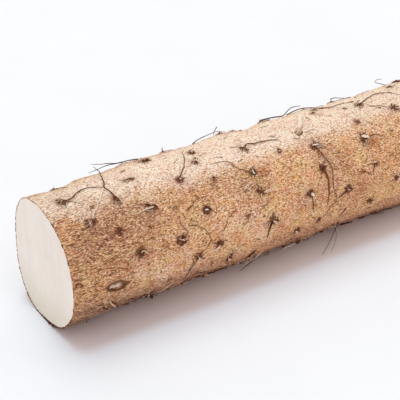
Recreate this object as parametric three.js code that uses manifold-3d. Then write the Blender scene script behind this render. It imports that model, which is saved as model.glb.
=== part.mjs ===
// A length of Chinese yam, a long cylindrical tuber. One end is cut off square and the other is the tuber's
// own blunt growing tip. It lies on its side: stations run along +X from the cut face, and angles turn round
// the section from +Y (the back) towards +Z (the top). Millimetres, +Z up, resting on Z = 0.
import * as THREE from 'three';
import { mergeVertices } from 'three/addons/utils/BufferGeometryUtils.js';
import Module from 'manifold-3d';

// Driving dimensions
const LENGTH = 330;            // cut face to growing tip
const RADIUS = 30;             // mean radius of the body
const TIP_LENGTH = 50;         // the stretch over which the body rounds off to the tip
const TIP_BLUNTNESS = 2.3;     // 2 would be an ellipse, more is blunter
const AXIS_Y = -0.8;           // section centre, sideways
const AXIS_Z = 30.8;           // section centre above the surface that the tuber rests on
const BEND = 6;                // how far the tip swings towards -Y
const DROOP = 3;               // how far the middle of the tip lies below the body's axis
const BEND_START = 190;        // station where the tuber starts to bend
const RING_STEP = 7;           // spacing of the rings of faces along the body
const SIDES = 40;              // faces round the body
const ROOTLET_RADIUS = 0.45;   // a rootlet where it leaves the skin

// The section is a circle with a few slow waves on it: slightly oval, fuller towards the back of the
// underside, and flatter at the back. Each wave is a share of the radius and the angle of its crest.
const SECTION_WAVES = [
  { turns: 2, share: 0.056, crest: -74 },
  { turns: 3, share: 0.040, crest: -57 },
  { turns: 4, share: 0.016, crest: 40 },
];

// The flattened band along the underside that it lies on. It rises over a short way at each end.
const BED = { angle: -101, height: 1.9, reach: 14, first: 0, last: 300, rise: 14, fall: 60 };

// Swells and hollows of the body: station, angle, height (a hollow is negative), reach along, reach round
const SWELLS = [
  [165, -140, -1.0, 190, 28],
  [18, 54, -0.9, 9, 45],
  [28, 54, 1.1, 9, 45],
  [56, 54, 1.6, 13, 50],
  [74, 54, 0.7, 8, 40],
  [98, 54, 1.0, 13, 45],
  [109, 54, 0.8, 9, 40],
  [118, 54, -0.5, 6, 35],
  [131, 54, 0.9, 7, 40],
  [156, 54, 0.9, 7, 40],
  [165, 54, -0.5, 9, 45],
  [188, 54, -0.7, 9, 45],
  [5, -124, 1.0, 12, 22],
  [54, -126, 1.1, 8, 35],
  [100, -126, 0.9, 22, 30],
  [112, -126, 0.4, 8, 35],
  [134, -126, 1.1, 9, 35],
  [175, -126, 1.1, 32, 30],
  [196, -126, 1.1, 11, 35],
  [246, 20, 1.6, 26, 60],
  [270, 150, -1.4, 16, 50],
  [292, 90, 1.2, 16, 60],
];

// Where roots have grown out of the skin on the front and top: station, angle
const ROOT_SCARS = [
  [10, 94], [15, 62], [18, 122], [27, 137], [33, 110], [34, 160], [45, 95], [47, 128], [48, 164], [55, 162],
  [58, 75], [64, 184], [65, 112], [72, 144], [76, 178], [78, 97], [81, 85], [81, 121], [82, 203], [92, 162],
  [101, 126], [102, 145], [104, 100], [105, 62], [105, 174], [112, 63], [120, 115], [121, 197], [128, 161],
  [130, 59], [133, 192], [136, 102], [138, 121], [138, 143], [151, 169], [154, 82], [154, 111], [165, 193],
  [167, 128], [168, 154], [169, 110], [170, 88], [174, 60], [178, 92], [182, 176], [193, 109], [206, 76],
];

// Scars on the back and round the tip follow the spiral that roots grow in
const SPIRAL = { first: 12, last: 312, pitch: 5.3, turn: 137.5, frontEnd: 214, front: [55, 215] };
const UNDERSIDE = [-128, -50];   // angles kept free of scars, because the tuber lies on them

// A root scar is a low blunt mound. Its profile is radius and height above the skin.
const SCAR_PROFILE = [[0, -1.2], [2.4, -1.2], [1.2, 0.8], [0, 0.8]];
const SCAR_SIDES = 6;
const SCAR_TWIST = 17;        // degrees that a mound is turned about its own middle, off the body's facets

// One old wound is a long lens of corky skin
const LENS_SCAR = { station: 21, angle: 184, stretch: 2.6 };

// Rootlets that still lie on the skin or arch over it: points of station, angle and height over the skin
const ROOTLETS = [
  [[10, 94, 0], [14, 96, 0.4], [19, 90, 0.2], [24, 88, 0.1], [31, 95, 0]],
  [[33, 111, 0], [32, 101, 0.3], [31, 95, 0.4], [33, 87, 0.4], [36, 71, 1.2], [37, 60, 3.2]],
  [[57, 69, 0], [51, 59, 0.9], [44, 59, 2.9], [36, 60, 4.6]],
  [[52, 62, 0], [43, 59, 2.0], [38, 60, 1.8], [34, 61, 1.0]],
  [[65, 112, 0], [70, 102, 0.3], [74, 93, 0.3], [78, 78, 0]],
  [[64, 184, 0], [60, 195, 0.4], [58, 210, 0]],
  [[89, 64, 0], [97, 60, 1.1], [104, 61, 0.4]],
  [[104, 100, 0], [112, 100, 0.4], [119, 101, 0.3], [123, 104, 0]],
  [[101, 126, 0], [95, 119, 0.4], [92, 110, 0.3], [84, 106, 0]],
  [[130, 60, 0], [137, 64, 0.6], [143, 62, 0.5], [149, 61, 2.2], [155, 62, 1.6]],
  [[147, 66, 0], [152, 62, 0.8], [158, 75, 0.3], [163, 80, 0.2], [171, 79, 0.3], [179, 83, 0]],
  [[178, 92, 0], [186, 85, 0.3], [192, 83, 0.5], [199, 87, 0.2], [203, 96, 0]],
  [[138, 121, 0], [142, 140, 0.4], [141, 161, 0.3], [143, 175, 0.3], [135, 191, 0]],
  [[137, 143, 0], [139, 154, 0.3], [139, 164, 0.3], [138, 178, 0]],
  [[224, 20, 0], [231, 32, 0.6], [240, 36, 0.8], [251, 31, 0]],
  [[90, 8, 0], [98, 15, 0.5], [109, 13, 0.7], [116, 4, 0]],
  [[262, 118, 0], [268, 106, 0.5], [279, 101, 0.5], [288, 108, 0]],
  [[240, 170, 0], [248, 180, 0.4], [259, 178, 0.5], [266, 190, 0]],
];
const ROOTLET_STEP = 2.6;     // length of one facet along a rootlet
const ROOTLET_SIDES = 6;

const degrees = THREE.MathUtils.degToRad;

function smoothstep(value) {
  const t = THREE.MathUtils.clamp(value, 0, 1);
  return t * t * (3 - 2 * t);
}

// The difference between two angles, from -pi to pi
function turnBetween(a, b) {
  return Math.atan2(Math.sin(a - b), Math.cos(a - b));
}

// How much of the full radius is left at a station, as the body rounds off to the tip
function tipShare(station) {
  const t = THREE.MathUtils.clamp((station - (LENGTH - TIP_LENGTH)) / TIP_LENGTH, 0, 1);
  return Math.sqrt(1 - t ** TIP_BLUNTNESS);
}

// The full radius at a station and angle, before the tip rounds it off
function bodyRadius(station, angle) {
  let radius = RADIUS;
  for (const { turns, share, crest } of SECTION_WAVES) {
    radius += RADIUS * share * Math.cos(turns * (angle - degrees(crest)));
  }
  for (const [at, direction, height, along, round] of SWELLS) {
    const turn = turnBetween(angle, degrees(direction)) / degrees(round);
    radius += height * Math.exp(-(((station - at) / along) ** 2) - turn ** 2);
  }
  const bedTurn = turnBetween(angle, degrees(BED.angle)) / degrees(BED.reach);
  const bedShare = smoothstep((station - BED.first) / BED.rise) * smoothstep((BED.last - station) / BED.fall);
  return radius + BED.height * bedShare * Math.exp(-(bedTurn ** 2));
}

// A place on the tuber, from its station, angle, share of the radius and height over the skin
function place(station, angle, share, height = 0) {
  const bend = THREE.MathUtils.clamp((station - BEND_START) / (LENGTH - BEND_START), 0, 1);
  const radius = bodyRadius(station, angle) * share + height;
  const y = AXIS_Y - BEND * bend ** 2 + radius * Math.cos(angle);
  const z = AXIS_Z - DROOP * bend ** 4 + radius * Math.sin(angle);
  return new THREE.Vector3(station, y, Math.max(z, 0));
}

function onSkin(station, angle, height = 0) {
  return place(station, angle, tipShare(station), height);
}

// The skin's outward direction
function skinNormal(station, angle) {
  const step = 0.5;
  const along = onSkin(station + step, angle).sub(onSkin(station - step, angle));
  const round = onSkin(station, angle + step / RADIUS).sub(onSkin(station, angle - step / RADIUS));
  return along.cross(round).normalize();
}

// The body is a lathed profile, laid along X and then moved out to the tuber's own section
function bodyGeometry() {
  const profile = [new THREE.Vector2(0, 0), new THREE.Vector2(RADIUS / 2, 0)];
  const tipStart = LENGTH - TIP_LENGTH;
  const rings = Math.round(tipStart / RING_STEP);
  for (let i = 0; i <= rings; i++) {
    profile.push(new THREE.Vector2(RADIUS, (tipStart * i) / rings));
  }
  const tipRings = 11;
  for (let i = 1; i < tipRings; i++) {
    const station = tipStart + TIP_LENGTH * Math.sin((i / tipRings) * (Math.PI / 2));
    profile.push(new THREE.Vector2(RADIUS * tipShare(station), station));
  }
  profile.push(new THREE.Vector2(0, LENGTH));

  const geometry = new THREE.LatheGeometry(profile, SIDES);
  const corners = geometry.attributes.position;
  for (let i = 0; i < corners.count; i++) {
    const station = corners.getY(i);
    const share = Math.hypot(corners.getX(i), corners.getZ(i)) / RADIUS;
    const angle = Math.atan2(corners.getX(i), corners.getZ(i));
    const corner = place(station, angle, share);
    corners.setXYZ(i, corner.x, corner.y, corner.z);
  }
  return geometry;
}

// A root scar's mound, standing on the skin and turned to its outward direction
function scarGeometry(station, angle, size, stretch = 1) {
  const profile = SCAR_PROFILE.map(([radius, height]) => new THREE.Vector2(radius * size, height * size));
  const geometry = new THREE.LatheGeometry(profile, SCAR_SIDES, degrees(SCAR_TWIST));
  const up = skinNormal(station, angle);
  const side = new THREE.Vector3(1, 0, 0).cross(up).normalize();
  const along = side.clone().cross(up);
  const frame = new THREE.Matrix4().makeBasis(side, up, along.multiplyScalar(stretch));
  frame.setPosition(onSkin(station, angle));
  return geometry.applyMatrix4(frame);
}

// The centre line of a rootlet: a smooth line through skin places, carried over the curved skin
class SkinCurve extends THREE.Curve {
  constructor(points) {
    super();
    const corners = points.map(([station, angle, height]) => new THREE.Vector3(station, angle, height));
    this.flat = new THREE.CatmullRomCurve3(corners);
  }

  getPoint(t) {
    const { x: station, y: angle, z: height } = this.flat.getPoint(t);
    return onSkin(station, degrees(angle), height);
  }
}

function rootletGeometry(points) {
  const path = new SkinCurve(points);
  const outline = new THREE.Shape().absarc(0, 0, ROOTLET_RADIUS, 0, 2 * Math.PI);
  const steps = Math.ceil(path.getLength() / ROOTLET_STEP);
  return new THREE.ExtrudeGeometry(
    outline,
    { steps, curveSegments: ROOTLET_SIDES / 2, bevelEnabled: false, extrudePath: path },
  );
}

// The scars that the spiral puts on the back and round the tip
function spiralScars() {
  const scars = [];
  for (let i = 0; SPIRAL.first + i * SPIRAL.pitch < SPIRAL.last; i++) {
    const station = SPIRAL.first + i * SPIRAL.pitch;
    const angle = (i * SPIRAL.turn) % 360;
    const inFront = angle > SPIRAL.front[0] && angle < SPIRAL.front[1] && station < SPIRAL.frontEnd;
    const under = angle - 360 > UNDERSIDE[0] && angle - 360 < UNDERSIDE[1];
    if (!inFront && !under) {
      scars.push([station, angle]);
    }
  }
  return scars;
}

const wasm = await Module();
wasm.setup();

// A closed geometry as a solid, with shared corners merged and collapsed triangles left out
function toSolid(geometry) {
  geometry.deleteAttribute('normal');
  geometry.deleteAttribute('uv');
  const merged = mergeVertices(geometry, 1e-4);
  const corners = [];
  for (let i = 0; i < merged.index.count; i += 3) {
    const [a, b, c] = [merged.index.getX(i), merged.index.getX(i + 1), merged.index.getX(i + 2)];
    if (a !== b && b !== c && c !== a) {
      corners.push(a, b, c);
    }
  }
  const mesh = new wasm.Mesh({
    numProp: 3,
    vertProperties: new Float32Array(merged.attributes.position.array),
    triVerts: new Uint32Array(corners),
  });
  return new wasm.Manifold(mesh);
}

// The tuber is one grown thing, so its scars and rootlets are joined to its body
function tuberGeometry() {
  let solid = toSolid(bodyGeometry());
  for (const [station, angle] of [...ROOT_SCARS, ...spiralScars()]) {
    solid = solid.add(toSolid(scarGeometry(station, degrees(angle), tipShare(station) ** 0.5)));
  }
  solid = solid.add(toSolid(scarGeometry(LENS_SCAR.station, degrees(LENS_SCAR.angle), 1, LENS_SCAR.stretch)));
  for (const points of ROOTLETS) {
    solid = solid.add(toSolid(rootletGeometry(points)));
  }
  const { vertProperties, triVerts } = solid.getMesh();
  const geometry = new THREE.BufferGeometry();
  geometry.setAttribute('position', new THREE.BufferAttribute(vertProperties, 3));
  geometry.setIndex(new THREE.BufferAttribute(triVerts, 1));
  geometry.computeVertexNormals();
  return geometry;
}

const skinMaterial = new THREE.MeshStandardMaterial({ color: 0xc2915f, roughness: 0.85, metalness: 0 });

const tuber = new THREE.Mesh(tuberGeometry(), skinMaterial);
tuber.name = 'tuber';
tuber.geometry.computeBoundingBox();
const middle = tuber.geometry.boundingBox.getCenter(new THREE.Vector3());
tuber.position.set(-middle.x, -middle.y, 0);

const group = new THREE.Group();
group.add(tuber);

export default group;
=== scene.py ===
"""A cut length of Chinese yam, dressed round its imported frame.

Stations run in millimetres along the tuber from the cut face, and angles in degrees turn round its section
from +Y (the back) towards +Z (the top), as in the part. Everything ends up in metres, +Z up.
"""
import math
import random
from functools import partial

import bpy
import numpy as np
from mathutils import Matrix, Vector, noise


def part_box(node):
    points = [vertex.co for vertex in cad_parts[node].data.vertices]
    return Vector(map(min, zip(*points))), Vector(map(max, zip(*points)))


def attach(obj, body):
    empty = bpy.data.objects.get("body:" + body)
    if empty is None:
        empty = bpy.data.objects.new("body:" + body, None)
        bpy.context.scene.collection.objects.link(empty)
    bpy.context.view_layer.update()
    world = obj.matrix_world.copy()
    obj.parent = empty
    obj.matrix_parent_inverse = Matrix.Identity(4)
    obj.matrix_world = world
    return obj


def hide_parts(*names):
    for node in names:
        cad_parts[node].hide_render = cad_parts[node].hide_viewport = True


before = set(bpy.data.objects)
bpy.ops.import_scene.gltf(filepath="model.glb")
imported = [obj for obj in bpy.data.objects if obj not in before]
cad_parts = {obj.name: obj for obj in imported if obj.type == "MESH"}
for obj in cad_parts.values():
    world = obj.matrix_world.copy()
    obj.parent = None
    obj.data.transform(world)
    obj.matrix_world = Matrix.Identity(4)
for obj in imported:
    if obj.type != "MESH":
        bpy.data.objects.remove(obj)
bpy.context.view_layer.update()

MM = 0.001
SEED = 7
noise.seed_set(SEED)        # without it the crumpling would differ from run to run

# ---------------------------------------------------------------- the tuber's shape, as in the part

LOW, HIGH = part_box("tuber")
LENGTH = (HIGH.x - LOW.x) / MM
RADIUS = 30.0
TIP_LENGTH = 50.0
TIP_BLUNTNESS = 2.3
AXIS_Y = -0.8
AXIS_Z = 30.8
BEND = 6.0
DROOP = 3.0
BEND_START = 190.0

SECTION_WAVES = [(2, 0.056, -74), (3, 0.040, -57), (4, 0.016, 40)]    # waves round, share of radius, crest
BED = dict(angle=-101, height=1.9, reach=14, first=0, last=300, rise=14, fall=60)
SWELLS = [                                                            # station, angle, height, reaches
    (165, -140, -1.0, 190, 28), (18, 54, -0.9, 9, 45), (28, 54, 1.1, 9, 45), (56, 54, 1.6, 13, 50),
    (74, 54, 0.7, 8, 40), (98, 54, 1.0, 13, 45), (109, 54, 0.8, 9, 40), (118, 54, -0.5, 6, 35),
    (131, 54, 0.9, 7, 40), (156, 54, 0.9, 7, 40), (165, 54, -0.5, 9, 45), (188, 54, -0.7, 9, 45),
    (5, -124, 1.0, 12, 22), (54, -126, 1.1, 8, 35), (100, -126, 0.9, 22, 30), (112, -126, 0.4, 8, 35),
    (134, -126, 1.1, 9, 35), (175, -126, 1.1, 32, 30), (196, -126, 1.1, 11, 35), (246, 20, 1.6, 26, 60),
    (270, 150, -1.4, 16, 50), (292, 90, 1.2, 16, 60),
]


def scar(station, angle, stain, strength, tone=0.5, ridges=(), chips=(), hairs=(0, 0.0)):
    """One root scar. Its places are in mm along and round the tuber from its middle, headings in degrees.

    stain is how far it darkens the skin and strength how much. tone runs from a maroon cork at 0 to an
    olive one at 1. ridges are lumps (u, v, reach, height), bars (u, v, u, v, thickness) or arcs (u, v,
    radius, first and last degree, thickness). chips are bits of light wood (u, v, length, width, heading,
    rise). hairs are a count, a heading, a spread and the longest length, or a count and the longest length
    for hairs all round.
    """
    if len(hairs) == 2:
        hairs = (hairs[0], 0, 180, hairs[1])
    return dict(station=station, angle=angle, stain=stain, strength=strength, tone=tone, ridges=ridges,
                chips=chips, hairs=hairs, pit=any(len(ridge) == 6 and ridge[2] > 0.8 for ridge in ridges))


# Root scars on the front and top
FRONT_SCARS = [
    scar(2.8, 171.4, 1.2, 0.2, 0.5, [(0, 0, 1.4, 170, 390, 0.34)], [], (6, 270, 120, 1.2)),
    scar(10, 94, 2.1, 0.7, 0.8, [(0.6, 1.5, 0.9, 0.9), (-1.3, -1.2, 0.6, 0.7), (-0.5, -1.8, 0.4, 0.5),
         (-0.6, 0.5, 0.5, 0.5), (1.5, 0.6, 0.5, 0.5)], [(0.2, 0.1, 0.8, 0.5, 45, 0.8),
         (-0.9, -0.2, 0.6, 0.4, 20, 0.7)], (15, 200, 100, 2.3)),
    scar(17.8, 122.5, 1.2, 0.95, 0.15, [(-0.1, 0.1, 0.8, 0.8), (0.2, -0.6, 0.9, -1.8, 0.22)],
         [(0.6, -0.8, 1.2, 0.3, -60, 0.5)], (20, 150, 55, 3.4)),
    scar(27.2, 137.6, 1.6, 1.0, 0.1, [(0.1, -0.3, 0.7, 0.3)], [], (6, 1.6)),
    scar(32.4, 110.6, 1.35, 0.9, 0.75, [(-0.2, -1.1, 0.6, 0.7), (0, 0.5, 0.9, 0.9), (0.3, 1.2, 0.5, 0.6)],
         [(1.0, -0.7, 1.7, 0.3, 80, 0.6), (1.5, 0.3, 1.3, 0.25, 75, 0.5)], (20, 110, 60, 2.6)),
    scar(34.5, 160.4, 2.1, 0.8, 0.9, [(0, 0, 1.7, 70, 300, 0.42), (0, 0, 1.8, 300, 350, 0.25),
         (-0.6, 0.4, 0.7, 0.2)], [], (8, 180, 90, 1.8)),
    scar(45, 95, 1.2, 0.65, 0.9, [(-0.9, -0.5, 0.65, 0.7), (0.6, 0.4, 0.75, 0.7),
         (-0.9, 0.2, 0.6, 0.9, 0.32)], [(-0.1, -0.9, 1.0, 0.5, -60, 0.9)], (9, 175, 28, 4.8)),
    scar(47, 128, 1.5, 0.75, 0.4, [(-2.6, 0.5, 1.8, 1.0, 0.36), (-0.8, -0.9, 0.9, -1.1, 0.34),
         (0.3, 0, 0.6, 0.5)], [(1.4, -0.5, 1.9, 0.42, 80, 1.2), (-0.8, -0.2, 1.6, 0.35, 170, 0.6)],
         (34, 185, 60, 3.8)),
    scar(47.3, 163.2, 0.6, 0.6, 0.7),
    scar(49.6, 201, 1.2, 0.6, 1.0, [(0, 0, 0.8, 0.4)], [], (6, 1.8)),
    scar(55, 162, 1.8, 0.62, 0.1, [(-0.1, 0.1, 1.8, 150, 260, 0.54), (-0.1, 0.1, 1.8, 5, 110, 0.54),
         (-0.1, 0.1, 1.8, 285, 335, 0.42), (-0.6, 0.5, 0.6, 0.5), (0.5, 0.8, 0.5, 0.4)],
         [(0.7, -0.1, 1.2, 0.6, 20, 0.9), (-0.3, -0.7, 0.7, 0.4, 0, 0.6)], (24, 3.0)),
    scar(58, 75, 1.3, 0.5, 0.7, [(-0.3, 0.5, 0.7, 0.8), (1.2, 1.6, 0.6, 0.7), (-2.2, 0.5, 0.5, 0.6)],
         [(0.6, 0.6, 0.9, 0.4, 90, 0.9)], (34, 3.4)),
    scar(64, 184, 1.4, 0.6, 0.3, [(-1.5, -0.9, -1.4, 1.2, 0.44), (-1.3, -1.4, 0.9, -1.0, 0.32),
         (1.0, -0.4, 1.1, 1.3, 0.42)], [(-0.2, 0.7, 1.5, 0.42, 85, 0.9)], (12, 2.2)),
    scar(64.8, 111.8, 1.55, 0.95, 0.05, [(0, 0, 1.3, 1.0), (0.6, -0.8, 0.6, 0.8)],
         [(0.2, 0.1, 0.7, 0.45, 0, 1.3)], (10, 1.8)),
    scar(71.1, 143.9, 1.5, 1.0, 0.1, [(0, 0, 1.3, 10, 190, 0.72), (0.05, -0.1, 1.25, 185, 300, 0.5),
         (0, 0, 1.3, 290, 375, 0.6), (0.3, 0.75, 0.75, 1.0), (-1.2, -0.7, 0.5, 0.7), (0.4, -1.3, 0.5, 0.6),
         (1.2, 0.7, 2.7, 1.3, 0.34)], [(-0.4, -0.1, 1.5, 0.56, 14, 1.1)], (12, 1.6)),
    scar(75.4, 178.2, 1.4, 0.75, 0.15, [(0, 0, 1.15, 90, 300, 0.5), (0.1, 0.1, 1.2, 300, 440, 0.3)], [],
         (10, 180, 100, 2.2)),
    scar(78, 98.6, 1.0, 0.6, 0.6, [(0, 0.5, 0.8, 0.9), (1.0, -1.7, 1.9, -3.0, 0.32),
         (-1.3, -0.8, 0.4, 0.5)], [], (10, 2.4)),
    scar(80.7, 85, 1.1, 0.55, 0.6, [(0, 0, 0.95, 110, 250, 0.48), (0, 0, 0.95, -80, 70, 0.48)],
         [(0.1, 0.1, 0.9, 0.5, 90, 0.9)], (10, 2.2)),
    scar(80.8, 121.4, 1.5, 0.62, 0.25, [(0, 0, 1.2, 0.25)]),
    scar(82.2, 203, 1.1, 0.7, 0.0, [(0, 0, 1.0, 0, 360, 0.42)], [(-0.6, -0.7, 1.9, 0.42, 75, 1.2),
         (0.3, 0.2, 1.2, 0.36, 85, 1.2)], (8, 1.8)),
    scar(83.2, 196.4, 0.7, 0.6, 0.9, [(0, 0, 0.5, 0.5)], [], (10, 2.4)),
    scar(91.4, 161.6, 1.5, 0.5, 0.1, [(0, 0, 1.0, 0.25)]),
    scar(101, 126, 1.5, 0.75, 0.9, [(-0.2, 0, 1.35, 95, 265, 0.52), (-0.2, 0, 1.35, -85, 85, 0.5)],
         [(0, 0, 2.6, 0.7, 100, 0.9), (-1.0, 1.9, 1.6, 0.45, 125, 0.6)], (14, 2.2)),
    scar(102, 145, 1.8, 0.6, 0.15, [(-0.3, 0.7, 0.8, 0.8), (-2.0, -1.2, 0.6, 0.5),
         (0.2, 1.1, 1.9, 1.2, 0.34)], [(0.9, 0.4, 1.1, 0.55, 10, 0.8)], (16, 190, 80, 2.3)),
    scar(104, 100, 1.1, 0.75, 0.6, [(-1.0, -0.3, 0.85, 0.8), (0.9, 0.7, 0.7, 0.7),
         (-0.6, 0.9, 0.8, 1.0, 0.34)], [(0.2, -0.6, 1.0, 0.6, 0, 0.9)], (24, 90, 60, 2.8)),
    scar(105, 174, 1.6, 0.75, 0.7, [(-2.0, -1.2, 1.6, -1.5, 0.5), (2.0, -1.0, 2.8, 0.9, 0.4),
         (-1.0, 0.9, 0.6, 0.6)], [(0.8, 0.6, 1.5, 0.65, 30, 0.8)], (26, 3.2)),
    scar(119.9, 114.8, 0.9, 0.5, 0.4, [(0, 0, 0.85, 0, 360, 0.24)], [(0, 0, 0.5, 0.4, 0, 0.5)], (4, 1.4)),
    scar(118.8, 213, 1.0, 0.6, 0.3, [(0, 0, 0.9, 0.5)], [], (8, 2.0)),
    scar(121, 197, 1.3, 0.75, 0.4, [(0.1, -1.8, 0.8, -0.4, 0.44), (0.8, -0.2, 1.3, 1.8, 0.46),
         (-1.1, 0.6, -0.2, 1.9, 0.34)], [(-0.2, 1.0, 1.6, 0.55, 60, 0.9)], (10, 2.2)),
    scar(128, 161, 1.5, 0.9, 0.1, [(0.1, 0.1, 1.4, 130, 310, 0.62), (-1.2, -0.3, -0.6, 0.9, 0.5)],
         [(0.5, 0.5, 2.0, 1.3, 80, 1.0), (0.9, 2.3, 1.5, 0.4, 85, 0.5)], (16, 190, 50, 2.8)),
    scar(129.5, 231, 1.3, 0.8, 0.8, [(0, 0, 1.3, 0.9), (2.2, -1.0, 0.8, 0.8), (-2.5, 0.5, 0.8, 0.8)], [],
         (14, 3.0)),
    scar(133, 192, 1.2, 0.6, 0.2, [(-0.2, -0.6, 1.0, 1.8, 0.5)], [], (10, 2.2)),
    scar(136, 102, 1.2, 0.35, 1.0, [(-0.1, -0.3, 1.9, -10, 190, 0.32)], [(0.3, -0.7, 1.3, 0.7, -10, 0.9)],
         (5, 1.6)),
    scar(138, 121, 1.5, 0.85, 0.8, [(0.1, 0.3, 1.2, 80, 240, 0.64), (-0.9, -0.3, 0.6, 0.6)],
         [(0.9, -0.3, 2.3, 0.85, 25, 1.1)], (30, 330, 60, 4.2)),
    scar(137.7, 142.5, 1.55, 0.95, 0.0, [(0, 0, 1.05, 150, 380, 0.62)], [(0.1, 0.9, 0.8, 0.4, 90, 0.4)],
         (14, 2.2)),
    scar(139.2, 135.8, 0.3, 0.2, 0.5, [], [(0, 0, 0.9, 0.5, 0, 0.6)]),
    scar(150.4, 169.2, 1.6, 0.75, 0.1, [(0, 0, 1.3, 100, 340, 0.52), (0.1, 0.1, 1.3, 340, 460, 0.34)],
         [(0.3, 0.5, 0.9, 0.6, 0, 0.3)], (10, 2.0)),
    scar(153.2, 82.6, 0.8, 0.6, 0.4, [(0, 0, 0.6, 0.7)], [], (6, 1.8)),
    scar(155.9, 77.6, 0.9, 0.5, 1.0, [(0, 0, 0.7, 0.6)], [], (6, 1.8)),
    scar(153.6, 112.3, 1.3, 0.32, 0.5),
    scar(165, 193, 1.3, 0.75, 0.4, [(-1.9, -1.2, 1.9, 1.3, 0.54), (0.4, -0.9, 0.6, 0.5)], [],
         (12, 30, 70, 3.0)),
    scar(167, 128, 1.5, 0.85, 0.5, [(-0.8, 0.6, 1.0, 40, 260, 0.62), (0.9, 0.9, 0.7, 0.7),
         (-1.7, -0.3, 0.5, 0.6)], [(0.2, -0.2, 3.3, 1.3, 38, 1.4), (1.6, 0.7, 1.5, 0.7, 25, 1.0)],
         (26, 3.6)),
    scar(168, 154, 1.2, 0.55, 0.3, [(-1.1, 0.4, -0.8, 1.6, 0.38), (1.0, -0.4, 1.2, 0.9, 0.34)],
         [(0, -0.7, 1.3, 0.6, 10, 0.7)], (8, 2.0)),
    scar(168.7, 111, 1.4, 0.8, 0.5),
    scar(169.8, 88.8, 0.7, 0.6, 0.7, [(0, 0, 0.6, 0.7)], [], (5, 1.4)),
    scar(178, 92, 1.4, 0.7, 0.9, [(-1.2, 0.5, 0.2, 0.2, 0.54), (0.6, 0.3, 1.4, -0.6, 0.44)], [], (22, 2.8)),
    scar(181, 176, 1.2, 0.75, 0.0, [(0, 0, 1.0, 0.8)], [(1.3, 0.7, 1.2, 0.5, 30, 0.7)], (10, 2.4)),
    scar(193, 109, 1.5, 0.7, 0.1, [(0, -0.2, 0.8, 0.8), (0.8, 0.9, 1.8, 2.6, 0.3)], [], (26, 2.8)),
    scar(205.4, 77, 1.0, 0.6, 0.6, [(0, 0, 0.9, 0.8)], [], (10, 2.4)),
]
# Nubs on the upper side that show against the background: station, angle, size
NUBS = [(15, 62, 0.8), (73, 61, 0.5), (105, 62, 0.9), (112, 63, 0.6), (130, 59, 0.9), (174, 60, 0.9)]
SPIRAL = dict(first=9.0, last=322.0, pitch=2.6, turn=137.5, front_end=214.0, front=(52, 212))
UNDERSIDE = (-128, -55)
LENS_SCAR = dict(station=20.9, angle=184.0, length=11.4, width=6.2, lean=0.12)


def cos_sin(degrees):
    """The cosine and sine of an angle in degrees."""
    angle = math.radians(degrees)
    return math.cos(angle), math.sin(angle)


def turn_from(angle, direction):
    """The turn in radians, up to half round either way, from a direction in degrees to angles in radians."""
    turn = angle - math.radians(direction)
    return np.arctan2(np.sin(turn), np.cos(turn))


def full_turn(count):
    """Directions in radians, evenly spaced round a circle."""
    return np.arange(count) * 2 * math.pi / count


def bell(*distances):
    """1 at no distance, and next to nothing from 2 on."""
    return np.exp(-sum(distance ** 2 for distance in distances))


def smoothstep(value):
    """Goes smoothly from 0 to 1 as the value does."""
    t = np.clip(value, 0, 1)
    return t * t * (3 - 2 * t)


def tip_share(station):
    """How much of its full radius the tuber still has, down to 0 at the tip."""
    t = np.clip((station - (LENGTH - TIP_LENGTH)) / TIP_LENGTH, 0, 1)
    return np.sqrt(1 - t ** TIP_BLUNTNESS)


def body_radius(station, angle):
    """The full radius in mm at a station and an angle in radians, before the tip rounds it off."""
    radius = RADIUS + 0 * angle
    for turns, share, crest in SECTION_WAVES:
        radius = radius + RADIUS * share * np.cos(turns * (angle - math.radians(crest)))
    for at, direction, height, along, reach in SWELLS:
        turn = turn_from(angle, direction) / math.radians(reach)
        radius = radius + height * bell((station - at) / along, turn)
    turn = turn_from(angle, BED["angle"]) / math.radians(BED["reach"])
    rise, fall = (station - BED["first"]) / BED["rise"], (BED["last"] - station) / BED["fall"]
    return radius + BED["height"] * smoothstep(rise) * smoothstep(fall) * bell(turn)


def side_shift():
    """How far the part was moved along Y to centre it, in mm, from the rim of the CAD cut face."""
    rim = [v.co.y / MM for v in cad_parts["tuber"].data.vertices if v.co.x < LOW.x + 0.01 * MM]
    around = np.radians(np.arange(0, 360, 1.0))
    own = AXIS_Y + body_radius(0.0, around) * np.cos(around)
    return (min(rim) + max(rim)) / 2 - (own.min() + own.max()) / 2


SHIFT_Y = side_shift()


def place(station, angle, share, height=0.0):
    """Places in metres, from stations, angles in radians, shares of the full radius and heights in mm."""
    station, angle = np.broadcast_arrays(np.asarray(station, float), np.asarray(angle, float))
    bend = np.clip((station - BEND_START) / (LENGTH - BEND_START), 0, 1)
    radius = body_radius(station, angle) * share + height
    y = AXIS_Y - BEND * bend ** 2 + radius * np.cos(angle) + SHIFT_Y
    z = AXIS_Z - DROOP * bend ** 4 + radius * np.sin(angle)
    x = LOW.x + station * MM
    return np.stack([x, y * MM, np.maximum(z, 0) * MM], axis=-1)


def fractal(points, scale, octaves=3, seed=0.0):
    """Smooth noise between about -1 and 1 at points in mm. scale is its features' size in mm, by axis."""
    spread = np.asarray(points, float).reshape(-1, 3) / np.asarray(scale, float) + seed
    values = [noise.fractal(Vector(p), 1.0, 2.0, octaves) for p in spread]
    return np.array(values).reshape(np.asarray(points).shape[:-1])


def unrolled(station, angle):
    """Noise coordinates in mm that follow the tuber without its bend and tip."""
    return np.stack(np.broadcast_arrays(station, RADIUS * np.cos(angle), RADIUS * np.sin(angle)), axis=-1)


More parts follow.
